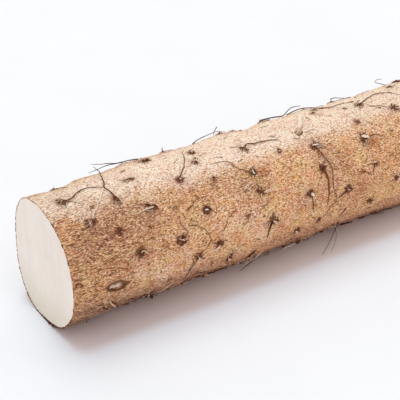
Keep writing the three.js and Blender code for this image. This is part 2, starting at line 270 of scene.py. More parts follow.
def grown_scar(rng, station, angle):
    """A scar of one of the usual kinds, turned and sized at random."""
    size, spin, tone = rng.uniform(0.65, 1.15), rng.uniform(0, 360), rng.random()
    kind = rng.choice(("ring", "ring", "crescent", "heap", "heap", "fray", "mark"))
    c, s = (size * part for part in cos_sin(spin))
    if kind == "ring":
        ridges = [(0, 0, 1.4 * size, spin, spin + rng.uniform(230, 360), 0.56 * size)]
        chips = [(0.2 * c, 0.2 * s, 1.4 * size, 0.9 * size, spin, 0.9)]
        return scar(station, angle, 1.6 * size, 0.9, tone, ridges, chips, (12, 2.4))
    if kind == "crescent":
        ridges = [(0, 0, 1.4 * size, spin, spin + 190, 0.46 * size), (c, s, 0.6 * size, 0.6)]
        chips = [(-0.5 * c, -0.5 * s, 1.5, 0.5, spin, 0.8)]
        return scar(station, angle, 1.5 * size, 0.65, tone, ridges, chips, (8, spin, 70, 3.2))
    if kind == "heap":
        ridges = [(0, 0, 1.1 * size, 0.8), (1.1 * c, 1.1 * s, 0.7 * size, 0.6)]
        chips = [(0.3 * c, 0.3 * s, 0.8, 0.4, spin, 1.0)]
        return scar(station, angle, 1.4 * size, 0.9, tone, ridges, chips, (18, spin, 100, 3.0))
    if kind == "fray":
        ridges = [(-1.2 * c, -1.2 * s, 1.2 * c, 1.2 * s, 0.42 * size), (0.9 * s, -0.9 * c, 0.5 * size, 0.5)]
        chips = [(0.4 * s, -0.4 * c, 1.6, 0.4, spin, 0.9)]
        return scar(station, angle, 1.3 * size, 0.7, tone, ridges, chips, (26, spin + 90, 90, 3.4))
    return scar(station, angle, 1.4 * size, 0.45, tone, [(0, 0, 0.9 * size, 0.25)])


def all_scars():
    """The front's own scars, the nubs, and those that the spiral puts on the back and round the tip."""
    rng = random.Random(SEED)
    scars = list(FRONT_SCARS)
    for station, angle, size in NUBS:
        scars.append(scar(station, angle, 1.2 * size, 0.8, 0.4, [(0, 0, size, size)],
                          [(0, 0, 0.8 * size, 0.7 * size, 0, 1.9 * size)], (10, 2.0)))
    count = int((SPIRAL["last"] - SPIRAL["first"]) / SPIRAL["pitch"])
    for i in range(count):
        station = SPIRAL["first"] + i * SPIRAL["pitch"] + rng.uniform(-1.2, 1.2)
        angle = (i * SPIRAL["turn"] + rng.uniform(-9, 9)) % 360
        grown = grown_scar(rng, station, angle)
        in_front = SPIRAL["front"][0] < angle < SPIRAL["front"][1] and station < SPIRAL["front_end"]
        under = UNDERSIDE[0] < angle - 360 < UNDERSIDE[1]
        if not in_front and not under:
            scars.append(grown)
    return scars


SCARS = all_scars()
GROWN_FROM = len(FRONT_SCARS) + len(NUBS)


def distance_to(station, angle, at, direction):
    """Distances over the skin in mm, along and round, from one place to many."""
    return station - at, RADIUS * turn_from(angle, direction)


def from_scar(station, angle, s):
    """Distances over the skin in mm, along and round, from a scar to many places."""
    return distance_to(station, angle, s["station"], s["angle"])


def lens_share(along, around):
    """How far places lie from the lens-shaped scar's middle, as a share of its own reach."""
    across = around - LENS_SCAR["lean"] * along
    return 2 * np.hypot(along / LENS_SCAR["length"], across / LENS_SCAR["width"])


def lens_mound(along, around):
    """The lens-shaped scar's relief in mm: a low bank round its bed."""
    far = lens_share(along, around)
    return 0.45 * bell((far - 1.0) / 0.35) - 0.5 * bell(far / 0.75)


def mound(s, along, around):
    """A scar's own relief in mm: a swelling, with a pit where a ring of cork stands round it."""
    far = np.hypot(along / 1.2, around) / s["stain"]
    return 0.45 * s["strength"] * bell(far / 2.0) - 0.5 * s["pit"] * bell(far / 0.8)


def relief(station, angle):
    """Low relief of the skin in mm: slow lumps, long wrinkles, a ragged cut edge, a mound at each scar."""
    where = unrolled(station, angle)
    near_cut = 0.45 + 0.55 * bell(station / 60.0)
    height = 0.30 * fractal(where, (16, 9, 9), 2, 3.0)
    height = height + 0.16 * near_cut * fractal(where, (6.0, 1.7, 1.7), 2, 11.0)
    height = height + 0.07 * fractal(where, (1.5, 1.1, 1.1), 2, 23.0)
    height = height + 0.30 * np.exp(-station / 1.5) * fractal(where, (1.5, 1.5, 1.5), 3, 31.0)
    for s in SCARS:
        height = height + mound(s, *from_scar(station, angle, s))
    height = height + lens_mound(*from_scar(station, angle, LENS_SCAR))
    return height * np.clip(tip_share(station) * 1.6, 0, 1)


def skin(station, angle, height=0.0):
    """Places on the finished skin in metres. Angles are in radians and heights over the skin in mm."""
    station, angle = np.broadcast_arrays(np.asarray(station, float), np.asarray(angle, float))
    return place(station, angle, tip_share(station), relief(station, angle) + height)


def skin_axes(station, angle_deg):
    """The point on the skin, and the directions out of it, along it and round it."""
    step = 0.6
    angle, turn = math.radians(angle_deg), step / RADIUS
    stations = np.array([station + step, station - step, station, station])
    p = place(stations, np.array([angle, angle, angle + turn, angle - turn]), tip_share(stations))
    along = p[0] - p[1]
    out = np.cross(p[2] - p[3], along)
    out /= np.linalg.norm(out)
    along /= np.linalg.norm(along)
    return skin(station, angle), out, along, np.cross(along, out)


# ---------------------------------------------------------------- mesh helpers


class Heap:
    """Collects many small closed forms into one piece. Each form has a tone for its material."""

    def __init__(self):
        self.corners = []
        self.faces = []
        self.tones = []

    def add(self, corners, faces, tone=0.5):
        corners = np.asarray(corners, float).reshape(-1, 3)
        first = sum(len(c) for c in self.corners)
        self.corners.append(corners)
        self.faces.extend(tuple(first + i for i in face) for face in faces)
        self.tones.append(np.broadcast_to(tone, len(corners)))

    def piece(self, name, material):
        mesh = bpy.data.meshes.new(name)
        mesh.from_pydata(np.concatenate(self.corners).tolist(), [], self.faces)
        layer = mesh.attributes.new("tone", "FLOAT", "POINT")
        layer.data.foreach_set("value", np.concatenate(self.tones).astype(np.float32))
        return as_piece(mesh, material)


def as_piece(mesh, *materials):
    """The mesh as a smooth-shaded object in the scene."""
    for material in materials:
        mesh.materials.append(material)
    mesh.update()
    mesh.shade_smooth()
    piece = bpy.data.objects.new(mesh.name, mesh)
    bpy.context.scene.collection.objects.link(piece)
    return piece


def ring_faces(rings, sides, ends="closed"):
    """Faces between rings of corners. The two ends are closed, open, or joined to each other."""
    faces = []
    for ring in range(rings if ends == "joined" else rings - 1):
        near, far = ring * sides, (ring + 1) % rings * sides
        for s in range(sides):
            t = (s + 1) % sides
            faces.append((near + s, near + t, far + t, far + s))
    if ends == "closed":
        faces += [tuple(range(sides))[::-1], tuple(range((rings - 1) * sides, rings * sides))]
    return faces


def tube(points, radii, sides=6):
    """A closed tapered tube along points in metres."""
    points = np.asarray(points, float)
    tangents = np.gradient(points, axis=0)
    tangents /= np.linalg.norm(tangents, axis=1)[:, None] + 1e-12
    side = np.cross(tangents[0], (0.31, 0.22, 0.93))
    rings = []
    turns = full_turn(sides)
    for point, tangent, radius in zip(points, tangents, radii):
        side = side - tangent * np.dot(side, tangent)
        side /= np.linalg.norm(side) + 1e-12
        other = np.cross(tangent, side)
        rings.append(point + radius * (np.cos(turns)[:, None] * side + np.sin(turns)[:, None] * other))
    return np.concatenate(rings), ring_faces(len(points), sides)


def smooth_route(corners, spacing):
    """Points along a smooth line through the corners, about spacing apart in the corners' own units."""
    corners = np.asarray(corners, float)
    ends = np.vstack([2 * corners[0] - corners[1], corners, 2 * corners[-1] - corners[-2]])
    points = []
    for i in range(1, len(ends) - 2):
        p0, p1, p2, p3 = ends[i - 1:i + 3]
        steps = max(2, int(np.linalg.norm(p2 - p1) / spacing))
        for t in np.arange(steps) / steps:
            points.append(0.5 * (2 * p1 + (p2 - p0) * t + (2 * p0 - 5 * p1 + 4 * p2 - p3) * t ** 2
                                 + (3 * p1 - p0 - 3 * p2 + p3) * t ** 3))
    points.append(corners[-1])
    return np.array(points)


def above_floor(points, height=0.0):
    """Lifts the points in metres that are lower than height mm over the floor."""
    points[..., 2] = np.maximum(points[..., 2], height * MM)
    return points


def crumple(points, amount, size, seed=0.0):
    """Moves points in metres to and fro by about amount mm, in crumbs about size mm across."""
    flat = points.reshape(-1, 3) / (size * MM)
    moved = [noise.noise_vector(Vector(p) + Vector((seed, seed, seed))) for p in flat]
    return points + MM * amount * np.array(moved).reshape(points.shape)


# ---------------------------------------------------------------- materials


def srgb(red, green, blue):
    """A display colour from 0 to 255 as a shader colour."""
    def linear(value):
        v = value / 255
        return v / 12.92 if v <= 0.04045 else ((v + 0.055) / 1.055) ** 2.4
    return (linear(red), linear(green), linear(blue), 1.0)


class Shader:
    """A material's node tree, with short calls for the nodes that its surface is worked out from."""

    def __init__(self, name, roughness=0.85, **sockets):
        self.material = bpy.data.materials.new(name)
        self.material.use_nodes = True
        self.tree = self.material.node_tree
        self.bsdf = self.tree.nodes["Principled BSDF"]
        for socket, value in dict(sockets, Roughness=roughness).items():
            self.bsdf.inputs[socket.replace("_", " ")].default_value = value
        self.mm = self.stretched(self.node("ShaderNodeTexCoord").outputs["Object"], (MM,) * 3)

    def node(self, kind, inputs=None, **settings):
        """A new node. Its inputs are sockets to link or values to set, by name or number."""
        node = self.tree.nodes.new(kind)
        for key, value in settings.items():
            setattr(node, key, value)
        for key, value in (inputs or {}).items():
            self.feed(node.inputs[key], value)
        return node

    def feed(self, socket, value):
        if isinstance(value, bpy.types.NodeSocket):
            self.tree.links.new(value, socket)
        else:
            socket.default_value = value

    def vector(self, operation, *values):
        return self.node("ShaderNodeVectorMath", dict(enumerate(values)), operation=operation).outputs[0]

    def stretched(self, places, size):
        """Places in units of size."""
        return self.vector("MULTIPLY", places, tuple(1 / s for s in size))

    def noise(self, size, detail=3.0, roughness=0.55, distortion=0.0, offset=0.0):
        """Noise whose features are size mm across, along X and round."""
        size = size if isinstance(size, tuple) else (size,) * 3
        moved = self.vector("ADD", self.stretched(self.mm, size), (offset, 1.7 * offset, 0.6 * offset))
        settings = {"Scale": 1.0, "Detail": detail, "Roughness": roughness, "Distortion": distortion}
        return self.node("ShaderNodeTexNoise", {"Vector": moved, **settings}).outputs["Fac"]

    def cells(self, size, warp):
        """Distance to the middles of cells about size mm across, with wandering edges."""
        at = self.stretched(self.mm, size)
        wander = self.node("ShaderNodeTexNoise", {"Vector": at, "Scale": 1.3, "Detail": 2.0})
        moved = self.vector("MULTIPLY_ADD", wander.outputs["Color"], (warp,) * 3, at)
        return self.node("ShaderNodeTexVoronoi", {"Vector": moved, "Scale": 1.0}).outputs["Distance"]

    def attribute(self, name):
        return self.node("ShaderNodeAttribute", attribute_name=name).outputs["Fac"]

    def ramp(self, value, *stops):
        """Colours or numbers by a value. A stop is (position, colour or number)."""
        node = self.node("ShaderNodeValToRGB", {"Fac": value})
        elements = node.color_ramp.elements
        while len(elements) < len(stops):
            elements.new(0.5)
        for element, (position, colour) in zip(elements, stops):
            element.position = position
            element.color = srgb(*colour) if isinstance(colour, tuple) else (colour, colour, colour, 1)
        return node.outputs["Color"]

    def rise(self, value, start, end, top=1.0):
        return self.ramp(value, (start, 0.0), (end, top))

    def fall(self, value, start, end, top=1.0):
        return self.ramp(value, (start, top), (end, 0.0))

    def math(self, operation, *values):
        return self.node("ShaderNodeMath", dict(enumerate(values)), operation=operation).outputs[0]

    def times(self, a, b):
        return self.math("MULTIPLY", a, b)

    def line(self, value, slope, start):
        """value * slope + start"""
        return self.math("MULTIPLY_ADD", value, slope, start)

    def mix(self, share, a, b, blend="MIX"):
        return self.node("ShaderNodeMix", {"Factor": share, 6: a, 7: b}, data_type="RGBA",
                         blend_type=blend).outputs[2]

    def over(self, base, colour, share, blend="MIX"):
        """A display colour laid over the base by a share."""
        return self.mix(share, base, srgb(*colour), blend)

    def between(self, axis, start, end, top=1.0):
        """Goes smoothly from top to 0 between two places in mm along an axis."""
        split = self.node("ShaderNodeSeparateXYZ", {0: self.mm})
        ends = {"From Min": start, "From Max": end, "To Min": top, "To Max": 0.0}
        return self.node("ShaderNodeMapRange", {"Value": split.outputs[axis], **ends},
                         interpolation_type="SMOOTHSTEP").outputs["Result"]

    def colour(self, value):
        self.feed(self.bsdf.inputs["Base Color"], value)

    def bump(self, height, depth, strength=1.0, under=None):
        """Relief depth mm deep, over the relief under it."""
        node = self.node("ShaderNodeBump", {"Height": height, "Distance": depth * MM, "Strength": strength})
        if under:
            self.feed(node.inputs["Normal"], under)
        self.feed(self.bsdf.inputs["Normal"], node.outputs["Normal"])
        return node.outputs["Normal"]


def skin_material():
    s = Shader("yam_skin", Specular_IOR_Level=0.12)
    near_cut = s.between("X", LOW.x / MM + 8, LOW.x / MM + 62)
    pale, warm, dirt_and_shade = s.attribute("pale"), s.attribute("warm"), s.attribute("dirt_and_shade")

    # The corky grain: fine lumps drawn out along the tuber, with creases between them, which are darkened
    # below, partly as painted shade
    worms = s.noise((0.95, 0.46, 0.46), 2, 0.55, 0.7, 3)
    grain = s.math("SUBTRACT", worms, s.line(s.cells((1.2, 0.68, 0.68), 0.6), 0.20, -0.09))

    # Slow patches: tan, orange, golden, rosy and a greyer tan
    base = s.ramp(s.noise(14, 3, 0.55, 0.3), (0.36, (234, 167, 110)), (0.5, (250, 189, 127)),
                  (0.64, (255, 206, 150)))
    base = s.over(base, (224, 146, 94), s.rise(s.noise(13, 4, 0.6, 0.4, 31), 0.50, 0.66, 0.5))
    base = s.over(base, (216, 144, 96), s.times(warm, 0.6))
    base = s.over(base, (240, 194, 122), s.rise(s.noise(9, 3, 0.6, 0.4, 131), 0.50, 0.62, 0.75))
    base = s.over(base, (240, 163, 129), s.rise(s.noise(8, 3, 0.6, 0.4, 157), 0.49, 0.60, 0.65))
    base = s.over(base, (202, 150, 116), s.rise(s.noise(7, 4, 0.65, 0.5, 57), 0.53, 0.66, 0.4))
    # Rosier and darker towards the underside, partly dirt and partly painted shade
    base = s.over(base, (216, 143, 106), s.ramp(dirt_and_shade, (0.02, 0.0), (0.35, 0.45), (0.95, 0.4)))
    base = s.over(base, (186, 128, 96), s.times(near_cut, 0.25))

    # The top is pale, partly the skin's own paler tone and partly a painted highlight with a pinker tint in
    # it, and it breaks up into the tan along its edge
    edge = s.math("ADD", pale, s.line(s.noise(7, 3, 0.6, 0.4, 19), 0.9, -0.45))
    light = s.rise(s.math("ADD", edge, s.line(grain, 0.7, -0.35)), 0.12, 0.80, 0.95)
    base = s.over(base, (254, 228, 198), light)
    pink = s.rise(s.noise(9, 3, 0.55, 0.3, 97), 0.46, 0.62, 0.7)
    base = s.over(base, (242, 200, 178), s.times(pink, light))

    # Brown rings round the scars, and the underside darkened, partly with dirt and partly with painted shade
    halo = s.times(s.attribute("halo"), s.ramp(s.noise(2.4, 3, 0.6, 0.4, 13), (0.32, 0.3), (0.6, 1.0)))
    base = s.over(base, (158, 106, 86), s.times(halo, 0.75))
    dirt = s.times(s.ramp(dirt_and_shade, (0.02, 0.0), (0.17, 0.22), (0.45, 0.58), (0.65, 1.0)),
                   s.ramp(s.noise((5, 2.0, 2.0), 4, 0.65, 0.5, 83), (0.36, 0.35), (0.58, 1.0)))
    base = s.over(base, (106, 69, 62), s.times(dirt, s.line(near_cut, 0.15, 0.85)))

    # Dark creases, partly the grain's own colour and partly painted shade in them, and light crumbs, partly
    # painted glints on the grain; much softer where the skin is pale and has its painted highlight
    patchy = s.ramp(s.noise(4.5, 3, 0.6, 0.4, 61), (0.35, 0.65), (0.62, 1.0))
    deep = s.mix(0.95, base, s.mix(light, srgb(108, 50, 14), srgb(176, 116, 84)))
    base = s.mix(s.times(s.fall(grain, 0.36, 0.46), patchy), base, deep)
    dull = s.math("ADD", s.times(dirt, -0.7), s.line(near_cut, -0.1, 1.0))
    flecks_and_glints = s.times(s.times(s.rise(grain, 0.515, 0.585), patchy), s.line(halo, -0.25, dull))
    base = s.mix(flecks_and_glints, base, s.mix(light, srgb(255, 231, 194), srgb(255, 249, 238)))
    crumbs = s.noise((1.5, 0.8, 0.8), 3, 0.7, 0.3, 71)
    # Crumbs and cracks fade out under the pale top and its painted highlight
    off_highlight = s.line(light, -0.6, 1.0)
    base = s.over(base, (134, 70, 34), s.times(s.rise(crumbs, 0.58, 0.70, 0.6), off_highlight))
    base = s.over(base, (232, 196, 180), s.rise(warm, 0.70, 1.0, 0.9), "MULTIPLY")

    # Short wavy cracks along the tuber, closest together beside the cut
    streaks = s.noise((2.4, 0.5, 0.5), 2, 0.5, 1.4, 44)
    cracked = s.math("MAXIMUM", near_cut, s.times(warm, 0.7))
    cracks = s.times(s.times(s.fall(streaks, 0.37, 0.46, 0.9), s.line(cracked, 0.6, 0.2)), off_highlight)
    base = s.over(base, (124, 66, 34), cracks)
    edges = s.times(s.rise(streaks, 0.53, 0.64, 0.5), cracked)
    base = s.mix(edges, base, s.mix(light, srgb(250, 202, 150), srgb(255, 240, 222)))

    # Scars stain the skin dark
    blot = s.times(s.attribute("blot"), s.ramp(s.noise(0.9, 3, 0.7, 0.4, 17), (0.32, 0.6), (0.6, 1.0)))
    base = s.over(base, (196, 162, 148), s.rise(blot, 0.05, 0.5), "MULTIPLY")
    base = s.over(base, (68, 37, 23), s.rise(blot, 0.36, 0.85, 0.92))
    s.colour(base)
    s.feed(s.bsdf.inputs["Roughness"], s.ramp(crumbs, (0.3, 0.95), (0.7, 0.75)))
    s.bump(cracks, -0.30, 1.0, s.bump(grain, 0.34, 0.9))
    return s.material


def flesh_material():
    s = Shader("yam_flesh", 0.45, Specular_IOR_Level=0.35, Subsurface_Weight=0.15, Subsurface_Scale=0.002,
               Subsurface_Radius=(1.0, 0.8, 0.6))
    body = s.ramp(s.noise((6, 7, 30), 3, 0.5, 0.3), (0.35, (240, 234, 224)), (0.65, (246, 241, 231)))
    body = s.over(body, (243, 230, 221), s.rise(s.noise(9, 3, 0.5, 0.2, 33), 0.45, 0.68, 0.7))
    body = s.over(body, (226, 222, 203), s.between("Z", 2.0, 26.0, 0.9))
    fine = s.ramp(s.noise((0.9, 0.9, 1.8), 3, 0.6, 0.0, 5), (0.35, 0.42), (0.65, 0.58))
    coarse = s.ramp(s.noise((3, 2.5, 3.5), 3, 0.6, 0.3, 27), (0.35, 0.45), (0.65, 0.55))
    body = s.mix(0.5, s.mix(0.5, body, fine, "OVERLAY"), coarse, "OVERLAY")

    # The skin's thin edge, thick and dark low down, partly where it has peeled and partly a painted shadow
    # of the gap under it, and a bright band inside it
    ragged = s.line(s.noise((2, 1.4, 1.4), 3, 0.7, 0.3, 21), 0.10, -0.05)
    inset = s.math("ADD", s.attribute("inset"), ragged)
    body = s.over(body, (250, 236, 222), s.fall(inset, 0.05, 0.16, 0.85))
    body = s.over(body, (176, 120, 84), s.fall(inset, 0.010, 0.035))
    depth = s.math("SUBTRACT", s.line(ragged, 0.8, s.attribute("crust")), s.attribute("inset"))
    bark = s.ramp(s.noise((1, 0.8, 0.8), 3, 0.7, 0.4, 49), (0.35, (64, 38, 28)), (0.65, (140, 98, 76)))
    s.colour(s.mix(s.rise(depth, 0.0, 0.012), body, bark))
    s.bump(s.noise((1, 1.2, 3.5), 3, 0.6, 0.2, 8), 0.12, 0.5)
    return s.material


def grained_material(name, darks, lights, size, gloss=0.08, depth=0.2):
    """Cork or fibre with a mottled grain. The piece's own tone runs through the darks and the lights."""
    s = Shader(name, Specular_IOR_Level=gloss)
    grain = s.noise(size, 4, 0.7, 0.4, 2)
    places = np.linspace(0, 1, len(darks)).tolist()
    dark, light = (s.ramp(s.attribute("tone"), *zip(places, colours)) for colours in (darks, lights))
    s.colour(s.mix(s.rise(grain, 0.36, 0.66), dark, light))
    s.bump(grain, depth, 0.8)
    return s.material


def dark_fibre(name):
    return grained_material(name, ((54, 18, 5), (106, 54, 24)), ((94, 42, 18), (154, 94, 56)),
                            1.2, 0.15, 0.05)


def pale_fibre(name):
    return grained_material(name, ((186, 142, 104), (236, 214, 190)), ((226, 190, 150), (255, 247, 234)),
                            1.2, 0.2, 0.05)


# ---------------------------------------------------------------- the tuber

SIDES = 200
BODY_RINGS = 379
TIP_RINGS = 73
CAP_INSETS = [21.5, 17.0, 13.0, 9.5, 6.5, 4.0, 2.5, 1.5, 0.9, 0.55, 0.3, 0.12]     # mm in from the rim
UNDER = -92             # the direction that faces the floor, where the dirt and the painted shade are thickest
PEELED_AND_SHADED = -96            # the direction where the skin's edge round the cut is darkest: peeled most, with a painted shadow of the gap under it

# Broad tints of the skin: station, angle, reach along, reach round in mm, strength
WARM_PATCHES = [
    (14, 170, 24, 26, 0.6), (30, 200, 40, 16, 0.2), (150, 215, 60, 12, 0.5), (106.5, 128, 4.5, 3.4, 1.2),
    (171.4, 135, 4.2, 3.2, 1.2), (158, 168, 7, 6, 0.8), (160, 190, 14, 10, 0.35), (4, 122, 6, 9, 0.5),
    (10, 108, 9, 6, 0.2), (30, 66, 34, 5, 0.7), (72, 67, 14, 5, 0.9), (110, 67, 13, 6, 1.0),
    (68, 118, 10, 7, 0.5), (66, 171, 2.8, 2.6, 0.6), (119, 124, 10, 8, 0.4), (182, 134, 10, 12, 0.4),
    (2, 152, 3, 7, 0.4), (282, 40, 30, 22, 0.5), (71.5, 133.6, 2.4, 2.2, 0.75),
]
# Paler skin, partly the skin's own tone and partly a painted highlight where the upper side catches the
# light
PALE_AND_HIGHLIGHT_PATCHES = [
    (60, 89, 60, 12, 0.95), (120, 90, 60, 13, 0.95), (190, 86, 48, 14, 0.9), (75, 88, 16, 12, 0.4),
    (6, 88, 22, 12, 0.5), (168, 67, 14, 9, 1.0), (250, 110, 40, 26, 0.5), (40, 185, 22, 11, 0.26),
    (90, 170, 30, 14, 0.24), (16, 115, 5, 4, 0.4), (135, 160, 12, 12, 0.15), (6, 201, 8, 6, 0.2),
]
GREY_PATCHES = [
    (22, 136, 14, 9, 0.9), (34, 128, 16, 7, 0.9), (47, 136, 12, 8, 0.8), (98, 138, 9, 9, 0.9),
    (140, 130, 9, 12, 0.8), (34, 162, 7, 6, 0.7), (150, 172, 12, 9, 0.6), (128, 168, 7, 7, 0.6),
    (66, 150, 6, 8, 0.4), (205, 150, 14, 14, 0.6), (240, 300, 26, 22, 0.7), (120, 10, 22, 16, 0.6),
    (296, 200, 20, 20, 0.6), (72, 128, 12, 8, 0.5), (88, 128, 10, 7, 0.4), (8, 142, 10, 8, 0.5),
    (150, 142, 9, 8, 0.5), (110, 199, 9, 6, 0.6), (110, 67, 8, 4, 0.6), (8, 220, 10, 4, 0.7),
]


def dirt_and_shade_share(station, angle):
    """How near each place is to the underside: 0 high up the sides, 1 where dirt and painted shade darken
    the skin most.
    """
    below = np.degrees(np.arccos(np.cos(angle - math.radians(UNDER)) * tip_share(station)))
    edge = 81 - 0.06 * station + 3 * np.cos((station - 132) / 10)
    # Less darkening along a band low on the front, away from the cut
    lighter_band = 0.5 * smoothstep((station - 60) / 25) * bell(turn_from(angle, 213) / 0.12)
    return np.clip((edge - below) / 34, 0, 1) * (1 - lighter_band)


def patches(station, angle, spots):
    """How strongly each place is tinted by soft-edged spots, from 0 to 1."""
    total = np.zeros(np.broadcast(station, angle).shape)
    for at, direction, along_reach, round_reach, strength in spots:
        along, around = distance_to(station, angle, at, direction)
        total += strength * bell(along / along_reach, around / round_reach)
    return np.clip(total, 0, 1)


def scar_masks(station, angle):
    """How much each place is stained dark by a scar, and how much by the greyer ring round it."""
    blot = np.zeros(station.shape)
    halo = patches(station, angle, GREY_PATCHES)
    for s in SCARS:
        along, around = from_scar(station, angle, s)
        far = np.hypot(along / 1.15, around)
        blot = np.maximum(blot, s["strength"] * np.exp(-((far / (1.1 * s["stain"] + 0.2)) ** 3.2)))
        halo = np.maximum(halo, s["strength"] * bell(far / (1.7 * s["stain"] + 1.6)))
    along, around = from_scar(station, angle, LENS_SCAR)
    far = lens_share(along, around)
    bed = 0.85 * bell((far - 0.8) / 0.14)
    inside = 0.4 * np.exp(-((far / 0.95) ** 8))
    flare = 0.75 * bell((along - 4.9) / 1.7, (around - 0.2) / 1.3)
    blot = np.max([blot, bed, inside, flare], axis=0)
    return blot, np.maximum(halo, np.exp(-((far / 1.15) ** 6)))


def tuber_piece():
    """The tuber as one run of rings, from the middle of its cut face out to the rim and on to the tip."""
    tip_start = LENGTH - TIP_LENGTH
    tip_turns = np.linspace(0, math.pi / 2, TIP_RINGS + 1)[:-1]
    stations = np.concatenate([np.linspace(0, tip_start, BODY_RINGS, endpoint=False),
                               tip_start + TIP_LENGTH * np.sin(tip_turns)])
    turns = full_turn(SIDES)
    station, angle = np.meshgrid(stations, turns, indexing="ij")
    grid = skin(station, angle)
    centre = grid[0].mean(axis=0)
    radius = np.linalg.norm(grid[0] - centre, axis=1)[:, None]
    cap = [centre + (grid[0] - centre) * (1 - inset * MM / radius) for inset in CAP_INSETS]
    corners = np.concatenate([*cap, *grid, centre[None, :], place([LENGTH], [0.0], 0.0)])
    cap_rings, rings = len(cap), len(cap) + len(grid)
    middle, tip, last = rings * SIDES, rings * SIDES + 1, (rings - 1) * SIDES
    faces = ring_faces(rings, SIDES, "open")
    pairs = [(s, (s + 1) % SIDES) for s in range(SIDES)]
    faces += [(last + s, last + t, tip) for s, t in pairs] + [(t, s, middle) for s, t in pairs]
    mesh = bpy.data.meshes.new("yam_tuber")
    mesh.from_pydata(corners.tolist(), [], faces)

    # What the materials read: each layer over the cap's rings and the skin's, then at the middle and the tip
    blot, halo = scar_masks(station, angle)
    peeled = -0.06 + 0.19 * bell(np.degrees(turn_from(turns, PEELED_AND_SHADED)) / 26)
    crust = np.full((rings, SIDES), -1.0)
    crust[:cap_rings + 1] = peeled
    inset = np.zeros((rings, SIDES))
    inset[:cap_rings] = np.array(CAP_INSETS)[:, None] / 10
    layers = {"blot": blot, "halo": halo, "warm": patches(station, angle, WARM_PATCHES),
              "pale": patches(station, angle, PALE_AND_HIGHLIGHT_PATCHES), "dirt_and_shade": dirt_and_shade_share(station, angle)}
    layers = {name: np.vstack([np.zeros((cap_rings, SIDES)), layer]) for name, layer in layers.items()}
    layers.update(inset=inset, crust=crust)
    ends = {"inset": (3.0, 0.0), "crust": (-1.0, -1.0)}
    for name, layer in layers.items():
        values = np.append(layer, ends.get(name, (0.0, 0.0))).astype(np.float32)
        mesh.attributes.new(name, "FLOAT", "POINT").data.foreach_set("value", values)

    piece = as_piece(mesh, skin_material(), flesh_material())
    slots = np.zeros(len(faces), np.int32)
    slots[:(cap_rings - 1) * SIDES] = slots[-SIDES:] = 1
    mesh.polygons.foreach_set("material_index", slots)
    mesh.set_sharp_from_angle(angle=math.radians(60))
    return piece


# ---------------------------------------------------------------- scars

SCAR_SIZE = 1.08        # how much larger than written the scars are made
ROUTE_STEP = 0.3        # mm between the sections of a ridge
FRINGE_HAIRS = 150      # along the lower front
DARK_CORK = ((46, 16, 14), (46, 21, 10), (54, 33, 14))
BROWN_CORK = ((156, 100, 82), (158, 110, 74), (164, 132, 88))


class Spot:
    """A place on the skin with its own axes. Lengths are in mm: along the tuber, round it, and out of it."""

    def __init__(self, station, angle_deg, own_mound=None, size=1.0):
        self.point, self.out, self.along, self.around = skin_axes(station, angle_deg)
        self.mound, self.size = own_mound, size

    def form(self, u, v, height):
        """Places in metres that follow the skin's curve and the spot's own mound."""
        u, v, height = (self.size * values for values in np.broadcast_arrays(u, v, height))
        drop = v ** 2 / (2 * RADIUS)
        if self.mound:
            drop = drop + self.mound(0.0, 0.0) - self.mound(u, v)
        return self.point + MM * (u[..., None] * self.along + v[..., None] * self.around
                                  + (height - drop)[..., None] * self.out)


def lens_spot():
    return Spot(LENS_SCAR["station"], LENS_SCAR["angle"], lens_mound)


def corky(points, amount, size):
    """Crumples points twice, the second time finely."""
    return crumple(crumple(points, amount, size), 0.16, 0.33, 3.0)


def welt(heap, rng, spot, route, thick, tone, whole=False):
    """A ragged ridge of dark cork along points (u, v) in mm. A whole one doesn't thin towards its ends."""
    count, sides = len(route), 8
    t = np.arange(count)
    phase = [rng.uniform(0, 6.28) for _ in range(2)]
    thick = thick * (1 + 0.28 * np.sin(t * 0.9 + phase[0]) + 0.2 * np.sin(t * 2.1 + phase[1]))
    if not whole:
        thick = thick * np.minimum(1, 0.3 + 0.35 * np.minimum(t, count - 1 - t))
    ahead = np.gradient(route, axis=0)
    ahead /= np.linalg.norm(ahead, axis=1)[:, None]
    loop = -full_turn(sides)
    across = thick[:, None] * np.cos(loop)
    u = route[:, 0, None] - ahead[:, 1, None] * across
    v = route[:, 1, None] + ahead[:, 0, None] * across
    corners = spot.form(u, v, 0.05 + 1.05 * thick[:, None] * np.sin(loop))
    heap.add(corky(corners, 0.32, 0.8), ring_faces(count, sides), tone)


def lump(heap, rng, spot, u, v, reach, height, tone):
    """A low crumpled heap of dark cork."""
    sides, rings = 16, 7
    turns = -full_turn(sides)
    phase = [rng.uniform(0, 6.28) for _ in range(3)]
    corners = []
    for i in range(rings):
        share = 1 - (i / (rings - 1)) ** 1.3 * 0.92
        wavy = 1 + 0.22 * np.sin(2 * turns + phase[0]) + 0.14 * np.sin(5 * turns + phase[1])
        grow = reach * share * wavy
        lift = -0.25 + height * (1 - share ** 2) + 0.08 * np.sin(5 * turns + phase[2] + i)
        corners.append(spot.form(u + grow * np.cos(turns) * 1.1, v + grow * np.sin(turns), lift))
    heap.add(corky(np.concatenate(corners), 0.36 * reach ** 0.5, 0.7), ring_faces(rings, sides), tone)


